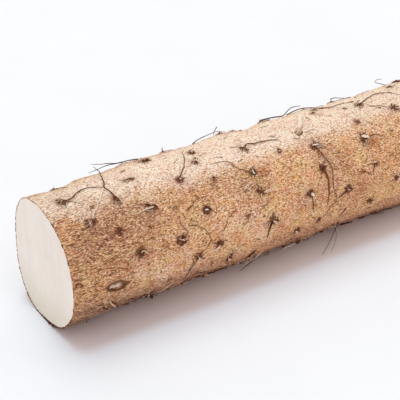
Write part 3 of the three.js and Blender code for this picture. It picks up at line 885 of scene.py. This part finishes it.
def chip(heap, rng, spot, u, v, length, width, heading, rise):
    """A torn bit of light wood whose far end stands up a little."""
    rings, sides = 9, 8
    t = np.linspace(0, 1, rings)[:, None]
    loop = -full_turn(sides)
    body = np.sin(math.pi * (0.08 + 0.84 * t)) ** 0.6 * (1 + 0.22 * np.sin(9 * t + rng.uniform(0, 6)))
    along = (t - 0.5) * length + 0 * loop
    across = 0.5 * width * body * np.cos(loop)
    height = 0.05 + rise * t + 0.42 * width * body * np.sin(loop)
    c, s = cos_sin(heading)
    corners = spot.form(u + along * c - across * s, v + along * s + across * c, height)
    corners = crumple(crumple(corners, 0.22, 0.6, 5.0), 0.10, 0.3, 8.0)
    heap.add(corners, ring_faces(rings, sides), rng.uniform(0.6, 1.0))


def bristle(heap, rng, spot, start, heading, length, radius, rise, tone):
    """A short stiff hair that leans out of a scar and curls back down. Its heading is in radians."""
    steps = 6
    curl = rng.uniform(-1.3, 1.3)
    t = np.linspace(0, 1, steps)
    turn = heading + curl * t
    u = start * math.cos(heading) + np.cumsum(np.cos(turn)) * length / steps
    v = start * math.sin(heading) + np.cumsum(np.sin(turn)) * length / steps
    points = above_floor(spot.form(u, v, 0.1 + rise * length * np.sin(t * 2.4)), 0.2)
    heap.add(*tube(points, np.linspace(radius, radius * 0.35, steps) * MM, 4), tone)


def arc_route(u, v, radius, first, last):
    """Points along part of a wobbly ring."""
    count = max(6, int(radius * math.radians(last - first) / ROUTE_STEP))
    turns = np.radians(np.linspace(first, last, count))
    wobble = 1 + 0.10 * np.sin(3 * turns + u + v + radius)
    return np.stack([u + radius * wobble * np.cos(turns), v + radius * wobble * np.sin(turns)], axis=-1)


def bar_route(u0, v0, u1, v1):
    """A line from one place to another that bows out a little."""
    count = max(5, int(math.hypot(u1 - u0, v1 - v0) / ROUTE_STEP))
    t = np.linspace(0, 1, count)
    bow = 0.075 * np.sin(math.pi * t)
    return np.stack([u0 + (u1 - u0) * t + bow * (v1 - v0), v0 + (v1 - v0) * t - bow * (u1 - u0)], axis=-1)


def add_ridge(heap, rng, spot, ridge, tone):
    """One of a scar's ridges: a lump, a bar or an arc, by how many numbers it has."""
    if len(ridge) == 4:
        lump(heap, rng, spot, *ridge, tone)
    elif len(ridge) == 5:
        welt(heap, rng, spot, bar_route(*ridge[:4]), ridge[4], tone)
    else:
        welt(heap, rng, spot, arc_route(*ridge[:5]), ridge[5], tone, whole=ridge[4] - ridge[3] >= 360)


def add_hairs(dark, pale, rng, spot, s):
    """A scar's own hairs. Two in five are pale."""
    count, heading, spread, longest = s["hairs"]
    for i in range(count):
        turn = math.radians(heading + rng.uniform(-spread, spread))
        bristle(pale if i % 5 in (2, 4) else dark, rng, spot, rng.uniform(0.3, 1.0) * s["stain"], turn,
                rng.uniform(0.4, 1.15) * longest, rng.uniform(0.12, 0.24), rng.uniform(0.02, 0.22),
                rng.random())


def add_lens_bed(heap, rng):
    """The dark bed of the lens-shaped scar: two rings of cork, one just inside the other."""
    turns = full_turn(48)
    for length, width, tone in ((4.7, 2.5, 0.9), (4.5, 2.2, 0.2)):
        u = length * np.cos(turns)
        route = np.stack([u, width * np.sin(turns) + LENS_SCAR["lean"] * u], axis=-1)
        welt(heap, rng, lens_spot(), route, 0.44, tone, whole=True)


def add_fringe(dark, pale, rng):
    """Short hairs and crumbs that stick out along the lower front, where the tuber turns under."""
    for i in range(FRINGE_HAIRS):
        spot = Spot(rng.uniform(4, 318), rng.uniform(222, 246))
        heading = rng.choice((0, math.pi)) + rng.gauss(0, 0.7)
        heap, tone = (pale, rng.uniform(0.2, 0.9)) if i % 5 == 4 else (dark, rng.uniform(0, 0.7))
        bristle(heap, rng, spot, 0.0, heading, rng.uniform(1.2, 4.0), rng.uniform(0.10, 0.22),
                rng.uniform(0.05, 0.4), tone)


def scar_pieces():
    rng = random.Random(SEED + 1)
    cork, wood, dark, pale = Heap(), Heap(), Heap(), Heap()
    for s in SCARS:
        spot = Spot(s["station"], s["angle"], partial(mound, s), SCAR_SIZE)
        for ridge in s["ridges"]:
            add_ridge(cork, rng, spot, ridge, s["tone"])
        for bit in s["chips"]:
            chip(wood, rng, spot, *bit)
        add_hairs(dark, pale, rng, spot, s)
    add_lens_bed(cork, rng)
    add_fringe(dark, pale, rng)
    light_wood = grained_material("scar_chip", ((206, 160, 126), (246, 220, 196)),
                                  ((255, 228, 200), (255, 250, 242)), 0.5)
    return [cork.piece("scar_cork", grained_material("scar_cork", DARK_CORK, BROWN_CORK, 0.5)),
            wood.piece("scar_chips", light_wood),
            dark.piece("dark_bristles", dark_fibre("dark_bristle")),
            pale.piece("pale_bristles", pale_fibre("pale_bristle"))]


def lens_material():
    s = Shader("lens_cork", Specular_IOR_Level=0.1)
    crack = s.fall(s.noise((1.4, 0.8, 0.8), 4, 0.65, 1.2, 9), 0.37, 0.45)
    heart = s.ramp(s.noise(0.8, 3, 0.6), (0.36, (214, 176, 152)), (0.62, (255, 240, 226)))
    s.colour(s.over(heart, (104, 62, 44), crack))
    s.bump(crack, -0.25, 1.0)
    return s.material


def lens_scar_piece():
    """The corky lens-shaped wound near the cut: a cracked whitish heart lying in its dark bed."""
    sides, rings = 48, 14
    turns = -full_turn(sides)
    length, width = 3.9, 1.75
    spot = lens_spot()
    corners = []
    for i in range(rings):
        share = 1 - (i / (rings - 1)) * 0.97
        u = length * share * np.cos(turns) * (1 + 0.06 * np.sin(5 * turns))
        v = width * share * np.sin(turns) * (1 + 0.14 * np.sin(7 * turns + 1) + 0.1 * np.sin(3 * turns))
        lumps = 0.22 * np.sin(u * 3.1 + 1) * np.cos(v * 4.0) + 0.14 * np.sin(u * 6.1 + v * 3)
        height = -0.3 + 0.8 * (1 - share ** 2.6) + lumps * (1 - share ** 2)
        corners.append(spot.form(u, v + LENS_SCAR["lean"] * u, height))
    heap = Heap()
    heap.add(crumple(np.concatenate(corners), 0.24, 0.6), ring_faces(rings, sides))
    return heap.piece("lens_scar", lens_material())


def rim_piece():
    """The skin's ragged edge round the cut, thickest along the bottom, where it has peeled a little."""
    count, sides = 360, 6
    turns = full_turn(count)
    rim = skin(0.0, turns)
    low, back = bell(np.degrees(turn_from(turns, UNDER)) / 44), bell(np.degrees(turn_from(turns, 0)) / 70)
    rough = fractal(rim / MM, 1.1, 3, 5.0)
    radius = np.clip(0.15 + 0.48 * low + 0.10 * back + rough * (0.34 + 0.8 * low), 0.04, 1.1)[:, None]
    out = rim - rim.mean(axis=0)
    out /= np.linalg.norm(out, axis=1)[:, None]
    inward = np.array([1.0, 0, 0])
    middle = rim + MM * (0.35 * radius * inward - 0.05 * out)
    loop = full_turn(sides)[:, None]
    section = 0.7 * np.cos(loop) * out[:, None] - np.sin(loop) * inward
    corners = above_floor(crumple(middle[:, None] + MM * radius[:, None] * section, 0.16, 0.6))
    bits = np.clip(0.8 + 2.6 * fractal(rim / MM, 3.0, 2, 9.0), 0, 1)
    # The cork is darkest along the bottom, partly peeled skin and partly a painted shadow of the gap under
    # the cut, and darker towards the back
    tone = np.clip(1 - low - 0.6 * back, 0, 1) * bits
    heap = Heap()
    heap.add(corners, ring_faces(count, sides, "joined"), np.repeat(tone, sides))
    return heap.piece("rim_skin", grained_material("rim_cork", ((44, 24, 18), (176, 116, 74)),
                                                   ((112, 74, 58), (244, 204, 164)), 1.1))


# ---------------------------------------------------------------- rootlets

# Rootlets on the front and top: kind, radius at the root, then points of station, angle, height on the skin
ROOTLETS = [
    ("dark", 0.25, [(10.6, 95, 0.2), (14, 96, 0.6), (19, 90, 0.5), (24, 88, 0.3), (31, 95, 0.2)]),
    ("dark", 0.27, [(32.6, 110, 0.3), (31.6, 101, 0.8), (31, 95.5, 0.6), (33, 87.5, 0.5), (36, 71, 1.4),
                    (37, 59, 3.6)]),
    ("band", 0.19, [(30, 97, 0.9), (24, 109, 0.6), (19, 118, 0.5), (17.6, 121, 0.3)]),
    ("dark", 0.26, [(57.5, 69, 0.2), (51, 59, 0.9), (44, 59, 3.0), (36, 60, 4.9)]),
    ("dark", 0.22, [(52, 60, 0.6), (43.5, 59, 2.2), (38, 60, 1.8), (33.5, 60, 1.1)]),
    ("brown", 0.22, [(65, 111, 0.3), (70, 102, 0.4), (74, 93, 0.3), (78, 78, 0.2)]),
    ("pale", 0.32, [(46.4, 127.6, 0.4), (43, 127.5, 0.6), (38, 128, 0.3), (33, 126, 0.1)]),
    ("dark", 0.30, [(73, 61, 0.0), (73.1, 61, 1.0), (73.4, 61, 2.0)]),
    ("dark", 0.17, [(54.5, 161.5, 0.2), (59, 157, 0.3), (56.6, 149, 0.3), (57, 141, 0.1)]),
    ("dark", 0.20, [(64, 184, 0.2), (60, 195, 0.4), (58, 210, 0.2)]),
    ("pale", 0.14, [(64.8, 186, 0.2), (61.5, 196, 0.4), (60, 205, 0.2)]),
    ("dark", 0.22, [(88, 66, 0.2), (92, 61, 0.7), (97, 60, 1.2), (102, 61.5, 1.4), (107, 62, 0.6)]),
    ("dark", 0.16, [(104.5, 62, 3.4), (102, 61.3, 1.0), (101, 64, 0.1)]),
    ("dark", 0.27, [(105.4, 99.6, 0.3), (107, 98, 0.6), (112, 100, 0.5), (119, 101, 0.3),
                    (124, 104, 0.1)]),
    ("brown", 0.19, [(100, 126, 0.3), (95, 119, 0.4), (92.8, 111, 0.4), (91, 108, 0.3), (84, 106, 0.1)]),
    ("pale", 0.34, [(103, 145.5, 0.4), (104.6, 145.2, 0.8), (106.6, 146.2, 0.7), (108.6, 146.6, 0.2)]),
    ("brown", 0.17, [(60, 152, 0.1), (63.5, 153.5, 0.4), (67.2, 158.5, 0.5), (69.6, 165, 0.5),
                     (70.3, 171, 0.5), (68.4, 176, 0.5), (65.4, 180.5, 0.6), (63.6, 184, 0.3)]),
    ("pale", 0.36, [(75, 179.4, 0.5), (73.4, 181.4, 0.8), (71.6, 182.4, 0.6), (69, 182.8, 0.2)]),
    ("dark", 0.34, [(104.6, 175.4, 0.3), (103.6, 178.6, 0.5), (102.8, 184, 0.4), (102.6, 193, 0.1)]),
    ("dark", 0.34, [(129.8, 59, 0.4), (137, 62, 0.8), (143.5, 61, 0.6), (148.8, 61, 2.8),
                    (154.6, 61.7, 2.2)]),
    ("brown", 0.26, [(145, 62, 0.3), (152.4, 61.3, 0.9), (157.5, 74, 0.4), (163.3, 80, 0.3),
                     (171.3, 79.4, 0.3), (179.4, 82.5, 0.2)]),
    ("dark", 0.22, [(173.8, 60.2, 1.4), (176.5, 60, 1.8), (179, 61.5, 1.0), (181.8, 62.7, 0.3)]),
    ("dark", 0.22, [(178, 91.6, 0.3), (186.4, 85, 0.4), (192, 82.5, 0.5), (198.7, 86.8, 0.4),
                    (203, 96.3, 0.2)]),
    ("dark", 0.18, [(207.5, 66, 0.2), (204, 60.3, 3.0), (206, 60.4, 4.0), (208.5, 60.6, 3.3)]),
    ("brown", 0.18, [(182.4, 96.6, 0.2), (187.7, 101.7, 0.4), (192.6, 109.4, 0.2)]),
    ("band", 1.05, [(136.8, 99.5, 0.7), (139.4, 95, 1.3), (142.8, 87.5, 1.4), (146, 81, 0.9)]),
    ("brown", 0.19, [(138.4, 120.6, 0.3), (140.3, 131.6, 0.4), (142, 140.4, 0.4), (142.5, 147.4, 0.3),
                     (141.4, 161.5, 0.3), (142.8, 175, 0.3), (139.5, 183.4, 0.3), (135.3, 191.4, 0.1)]),
    ("mauve", 0.66, [(137.6, 143.6, 0.0), (139.2, 153.5, -0.1), (138.8, 164, -0.2), (138, 179, -0.3)]),
    ("dark", 0.28, [(149, 170, 0.3), (147, 172, 0.4), (143.4, 175, 0.2)]),
    ("brown", 0.20, [(168.4, 129, 0.3), (174.3, 129.3, 0.4), (178.8, 133.8, 0.1)]),
    ("dark", 0.18, [(167.6, 153.5, 0.2), (166.2, 163.5, 0.1)]),
    ("brown", 0.22, [(128.4, 164, 0.2), (129, 173, 0.3), (129.7, 183, 0.1)]),
    ("pale", 0.16, [(117.5, 163.4, 0.2), (117.4, 175, 0.3), (117.7, 187, 0.1)]),
    ("dark", 0.18, [(150.3, 191, 0.2), (146.9, 202.6, 0.2)]),
    ("pale", 0.24, [(34.4, 160, 0.5), (35.6, 159.4, 1.1), (36.8, 161.2, 0.9), (38, 165, 0.3)]),
    # along the lower edge
    ("pale", 0.30, [(18.6, 202, 0.2), (19.8, 206, 0.6), (21.5, 212, 0.8), (24, 221, 0.7)]),
    ("dark", 0.26, [(19.6, 203, 0.2), (22.5, 211, 0.4), (25.5, 221, 0.3)]),
    ("pale", 0.22, [(46.5, 224, 0.2), (48.6, 217, 0.5), (52.4, 208, 0.2)]),
    ("dark", 0.34, [(72, 240, 0.1), (77, 238, 0.4), (83, 236, 0.4), (89, 236, 0.1)]),
    ("pale", 0.22, [(103.8, 221, 0.2), (101.5, 228, 1.0), (99, 235, 1.7), (97.5, 239, 2.0)]),
    ("dark", 0.27, [(105, 232, 0.2), (101.8, 237, 2.0), (98, 238, 3.2), (94.1, 236.5, 4.0)]),
    ("dark", 0.30, [(112, 234, 0.0), (112.2, 236, 1.0), (112.4, 237, 1.7)]),
    ("band", 0.40, [(131.5, 238, 0.3), (129.5, 243, 0.9), (127, 246, 1.4), (124.4, 247, 1.9)]),
    ("dark", 0.44, [(157, 232, 0.2), (160, 234, 0.6), (163.5, 236, 0.8), (167, 239, 0.6)]),
    ("dark", 0.32, [(170.5, 238, 0.2), (173, 239, 0.5), (176.5, 240, 0.4)]),
    ("dark", 0.24, [(176, 232, 0.3), (182, 237, 1.0), (188, 240, 1.6)]),
    # short ones in the middle
    ("dark", 0.20, [(75, 177.4, 0.4), (73.1, 176.4, 0.5), (70.4, 174.6, 0.4)]),
    ("brown", 0.24, [(61.7, 138.8, 0.2), (64.3, 136.7, 0.5), (67.2, 133.6, 0.6), (70, 133.1, 0.3)]),
    ("brown", 0.16, [(81.8, 156.6, 0.2), (84, 154.3, 0.5), (86.5, 152, 0.3)]),
]
# Which piece each kind goes to, and its tone there
TONES = {"dark": ("dark", 0.1), "mauve": ("dark", 0.8), "brown": ("dark", 0.65), "straw": ("pale", 0.15),
         "pale": ("pale", 0.5), "band": ("pale", 1.0)}
# Hairs that hang from the lower side to the surface: points in mm as (station, y from the middle, height)
FLOOR_HAIRS = [
    ("dark", 0.22, [(160, -12, 2.2), (154, -17, 2.6), (147, -22, 1.6), (139, -27, 0.4)]),
    ("brown", 0.13, [(149.5, -22.5, 11), (149.4, -24.5, 7.5), (147, -26.5, 3.5), (144, -27.5, 0.4)]),
    ("pale", 0.12, [(151, -22, 10), (151.6, -24.2, 7.5), (150.5, -26, 4.5)]),
]
ROOTLET_STEP = 0.8      # mm between a rootlet's sections
LOOSE_SHARE = 0.34      # how many of the spiral's scars have kept a rootlet
FUZZ = [(300, 5.5, 0.09), (70, 15, 0.10)]       # fine fibres: count, longest, radius


def rootlet(heap, radius, points, tone, flat=False):
    """A thread from a scar over the skin. It thins towards its end, a flat one less, and wavers a little."""
    route = smooth_route([(s, math.radians(a) * RADIUS, h) for s, a, h in points], ROOTLET_STEP)
    count = len(route)
    shake = np.array([[noise.noise(Vector((0.35 * p[0], 0.35 * p[1], k * 9.1))) for k in (1, 2)]
                      for p in route])
    route[:, :2] += 0.5 * shake * np.sin(np.linspace(0, math.pi, count))[:, None]
    height = np.maximum(route[:, 2], -0.3)
    line = skin(route[:, 0], route[:, 1] / RADIUS, height + radius * 0.4)
    thin = 1 - (0.25 if flat else 0.6) * np.linspace(0, 1, count) ** 1.3
    radii = radius * thin * (1 + 0.25 * shake[:, 0])
    radii[-1] *= 0.4
    heap.add(*tube(above_floor(line, radii), radii * MM), tone)


def floor_hair(heap, radius, points, tone):
    """A hair that hangs free of the skin."""
    line = smooth_route(points, 1.0)
    line = np.stack([LOW.x + line[:, 0] * MM, (line[:, 1] + SHIFT_Y) * MM, line[:, 2] * MM], axis=-1)
    heap.add(*tube(line, np.linspace(radius, radius * 0.4, len(line)) * MM), tone)


def loose_rootlets(rng):
    """Rootlets of the back, the tip and the far front, which leave some of the spiral's scars."""
    made = []
    for s in SCARS[GROWN_FROM:]:
        if rng.random() > LOOSE_SHARE:
            continue
        heading = rng.uniform(0, 6.28)
        points = [(s["station"], s["angle"], 0.3)]
        for _ in range(rng.randint(2, 5)):
            heading += rng.uniform(-0.7, 0.7)
            step = rng.uniform(3.5, 8)
            at = min(max(points[-1][0] + step * math.cos(heading), 2), LENGTH - 8)
            turn = points[-1][1] + math.degrees(step * math.sin(heading) / RADIUS)
            points.append((at, turn, rng.uniform(0.2, 0.7)))
        points[-1] = (points[-1][0], points[-1][1], 0.15)
        made.append((rng.choice(("dark", "dark", "brown", "pale")), rng.uniform(0.16, 0.34), points))
    return made


def fuzz(rng, count, longest, radius):
    """Fine fibres that lie on the skin all over."""
    made = []
    for _ in range(count):
        station, angle = rng.uniform(6, 312), rng.uniform(-52, 232)
        heading, length = rng.choice((0, math.pi)) + rng.gauss(0, 0.6), rng.uniform(0.4, 1.0) * longest
        bend = rng.uniform(-1.1, 1.1)
        points = []
        for k in range(4):
            points.append((station, angle, 0.12 if k in (0, 3) else rng.uniform(0.1, 0.35)))
            station = min(max(station + length / 3 * math.cos(heading), 1), LENGTH - 6)
            angle += math.degrees(length / 3 * math.sin(heading) / RADIUS)
            heading += bend / 3
        kind = rng.choice(("straw", "straw", "brown", "dark"))
        made.append((kind, rng.uniform(0.7, 1.3) * radius, points))
    return made


def rootlet_pieces():
    rng = random.Random(SEED + 2)
    heaps = {"dark": Heap(), "pale": Heap()}
    threads = ROOTLETS + loose_rootlets(rng)
    for row in FUZZ:
        threads = threads + fuzz(rng, *row)
    for kind, radius, points in threads:
        shade, tone = TONES[kind]
        tone += rng.uniform(-0.1, 0.1)
        rootlet(heaps[shade], 0.05 + radius * 0.92, points, tone, flat=kind == "band")
    for kind, radius, points in FLOOR_HAIRS:
        shade, tone = TONES[kind]
        floor_hair(heaps[shade], radius, points, tone)
    return [heaps["dark"].piece("dark_rootlets", dark_fibre("dark_root")),
            heaps["pale"].piece("pale_rootlets", pale_fibre("pale_root"))]


# ---------------------------------------------------------------- skin flakes

# Loose bits of dry skin: station, angle, length, width, lift, turn in degrees, tone from dark to cream
FLAKES = [
    (15, 205, 6.4, 1.1, 0.6, 30, 1.0), (14.2, 203.6, 6.0, 1.2, 0.6, 36, 0.1),
    (17.4, 212, 5.0, 1.5, 0.6, 42, 0.0), (20.5, 209, 5.5, 1.0, 0.7, 60, 0.8),
    (22.6, 214, 4.0, 1.0, 0.6, 55, 0.7), (24, 219, 5.0, 1.4, 0.6, 50, 0.1),
    (45, 238, 4.6, 3.0, 1.5, 5, 0.05), (49, 222, 7.0, 2.4, 0.5, -25, 0.35),
    (40, 234, 7.0, 1.6, 0.5, 3, 0.0), (60, 234, 5.0, 1.5, 0.6, 5, 0.2),
    (74.6, 234, 4.6, 1.6, 1.0, 0, 0.85), (73.5, 238, 5.0, 1.4, 1.0, 5, 0.0),
    (83.4, 214, 6.0, 1.5, 0.8, -38, 0.9), (85.4, 216, 4.0, 1.2, 0.6, -22, 0.1),
    (81, 220, 4.0, 1.2, 0.6, -30, 0.7), (95, 236, 4.0, 1.5, 0.6, 18, 0.1),
    (100, 228, 4.5, 1.4, 0.7, -25, 0.3), (109, 232, 4.5, 1.5, 0.7, 0, 0.75),
    (120, 234, 4.0, 1.6, 0.9, 4, 0.1), (127, 232, 5.0, 1.8, 1.0, -12, 0.0),
    (133, 228, 4.5, 1.6, 0.8, 24, 0.1), (131, 224, 4.0, 1.3, 0.7, 10, 0.8),
    (150, 228, 5.0, 1.6, 0.8, 0, 0.8), (144, 234, 5.0, 1.4, 0.6, 0, 0.1),
    (170, 234, 6.0, 1.4, 0.6, 6, 0.1), (188, 234, 6.0, 1.4, 0.8, -6, 0.2),
    (8, 200, 3.4, 1.2, 0.5, 12, 0.3), (200, 232, 6.0, 1.6, 0.8, 3, 0.3), (30, 232, 6.0, 1.4, 0.5, 8, 0.3),
]
SMALL_FLAKES = 60       # tiny ones all over, placed at random


def flake(heap, rng, station, angle, length, width, lift, turn, tone):
    """A thin curled scale of skin, held down along one end."""
    rows, columns, thick = 8, 5, 0.10
    size = rows * columns
    t = np.linspace(0, 1, rows)[:, None]
    w = np.linspace(-0.5, 0.5, columns)[None, :]
    ragged = 1 + 0.22 * np.sin(9 * t + rng.uniform(0, 6)) + 0.14 * np.sin(17 * t + rng.uniform(0, 6))
    u = (t - 0.5) * length * (1 - 0.25 * (2 * w) ** 2)
    v = w * width * np.sin(math.pi * (0.12 + 0.8 * t)) * ragged
    h = 0.14 + lift * t ** 2 * (1 - 0.5 * np.cos(w * 5)) + 0.14 * np.sin(6 * t + 3 * w)
    c, s = cos_sin(turn)
    spot = Spot(station, angle)
    layers = [spot.form(u * c - v * s, u * s + v * c, height) for height in (h, h - thick)]
    top = [(a, a + 1, a + columns + 1, a + columns) for a in range(size - columns) if (a + 1) % columns]
    under = [(size + a, size + d, size + c, size + b) for a, b, c, d in top]
    edge = [*range(columns), *range(2 * columns - 1, size, columns),
            *range(size - 2, size - columns - 1, -1), *range(size - 2 * columns, 0, -columns)]
    sides = [(a, size + a, size + b, b) for a, b in zip(edge, edge[1:] + edge[:1])]
    heap.add(above_floor(np.stack(layers), 0.1), top + under + sides, tone)


def flake_piece():
    rng = random.Random(SEED + 3)
    heap = Heap()
    for row in FLAKES:
        flake(heap, rng, *row)
    for _ in range(SMALL_FLAKES):
        flake(heap, rng, rng.uniform(5, 315), rng.uniform(-48, 232), rng.uniform(1.5, 3.6),
              rng.uniform(0.7, 1.5), rng.uniform(0.15, 0.5), rng.uniform(-40, 40), rng.uniform(0.15, 0.6))
    return heap.piece("skin_flakes", grained_material("flake_skin", ((62, 34, 24), (206, 154, 108)),
                                                      ((122, 78, 56), (252, 222, 182)), 1.0))


# ---------------------------------------------------------------- the object, dressed

tuber = tuber_piece()
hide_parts("tuber")
pieces = [(tuber, "skin"), (lens_scar_piece(), "skin"), (rim_piece(), "skin"), (flake_piece(), "skin")]
pieces += [(piece, "rootlet") for piece in scar_pieces() + rootlet_pieces()]
for piece, slot in pieces:
    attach(piece, "root")

# ---------------------------------------------------------------- the studio

FLOOR_SIZE = 6.0                                # metres
AIM_STATION, AIM_HEIGHT = 84.1, 36.7            # mm: what the camera looks at, in the tuber's middle plane
AZIMUTH, ELEVATION = -33.2, 31.05               # degrees: where it looks from
DISTANCE = 0.5709                               # metres
LENS, SENSOR = 108.0, 36.0                      # mm
SKY, SKY_STRENGTH = (1.15, 0.975, 0.87, 1.0), 0.405
WALL = (240, 242, 246)
SUNS = [                                        # name, direction, energy, spread in degrees, colour
    ("lamp_above", (-0.03, 0.03, 1.0), 0.31, 12, (0.34, 1.06, 1.60)),
    ("soft_box_above", (-0.03, 0.27, 0.96), 0.77, 44, (0.92, 1.07, 1.01)),
    ("soft_box_left", (-0.64, -0.58, 0.50), 1.03, 110, (1.04, 0.93, 1.03)),
    ("soft_box_right", (0.75, 0.35, 0.5), 1.05, 100, (1.07, 1.01, 0.92)),
]


def floor():
    mesh = bpy.data.meshes.new("floor")
    h = FLOOR_SIZE / 2
    mesh.from_pydata([(-h, -h, 0), (h, -h, 0), (h, h, 0), (-h, h, 0)], [], [(0, 1, 2, 3)])
    s = Shader("paper_floor", 0.9, Specular_IOR_Level=0.1)
    s.colour(s.ramp(s.noise(60, 2), (0.3, (241, 242, 245)), (0.7, (243, 244, 247))))
    as_piece(mesh, s.material)


def aimed(name, data, back):
    """A camera or light whose own +Z points along back, away from what it looks at."""
    thing = bpy.data.objects.new(name, data)
    thing.rotation_euler = back.to_track_quat("Z", "Y").to_euler()
    bpy.context.scene.collection.objects.link(thing)
    return thing


def camera():
    (c, s), (level, rise) = cos_sin(AZIMUTH), cos_sin(ELEVATION)
    back = Vector((s * level, -c * level, rise))
    data = bpy.data.cameras.new("camera")
    data.lens, data.sensor_width = LENS, SENSOR
    data.clip_start = 0.01
    eye = aimed("camera", data, back)
    aim = Vector((LOW.x + AIM_STATION * MM, SHIFT_Y * MM, AIM_HEIGHT * MM))
    eye.location = aim + back * DISTANCE
    bpy.context.scene.camera = eye


def sun(name, direction, energy, spread, colour):
    data = bpy.data.lights.new(name, "SUN")
    data.energy = energy
    data.angle = math.radians(spread)
    data.color = colour
    aimed(name, data, Vector(direction))


def sky():
    """Lights the scene. Past the floor's edge the camera sees a pale wall instead of it."""
    world = bpy.data.worlds.new("studio")
    world.use_nodes = True
    nodes, links = world.node_tree.nodes, world.node_tree.links
    light = nodes["Background"]
    light.inputs["Color"].default_value = SKY
    light.inputs["Strength"].default_value = SKY_STRENGTH
    wall = nodes.new("ShaderNodeBackground")
    wall.inputs["Color"].default_value = srgb(*WALL)
    ray = nodes.new("ShaderNodeLightPath")
    either = nodes.new("ShaderNodeMixShader")
    for i, share in enumerate((ray.outputs["Is Camera Ray"], light.outputs[0], wall.outputs[0])):
        links.new(share, either.inputs[i])
    links.new(either.outputs[0], nodes["World Output"].inputs["Surface"])
    bpy.context.scene.world = world


floor()
camera()
sky()
for row in SUNS:
    sun(*row)
bpy.context.scene.view_settings.view_transform = "Standard"
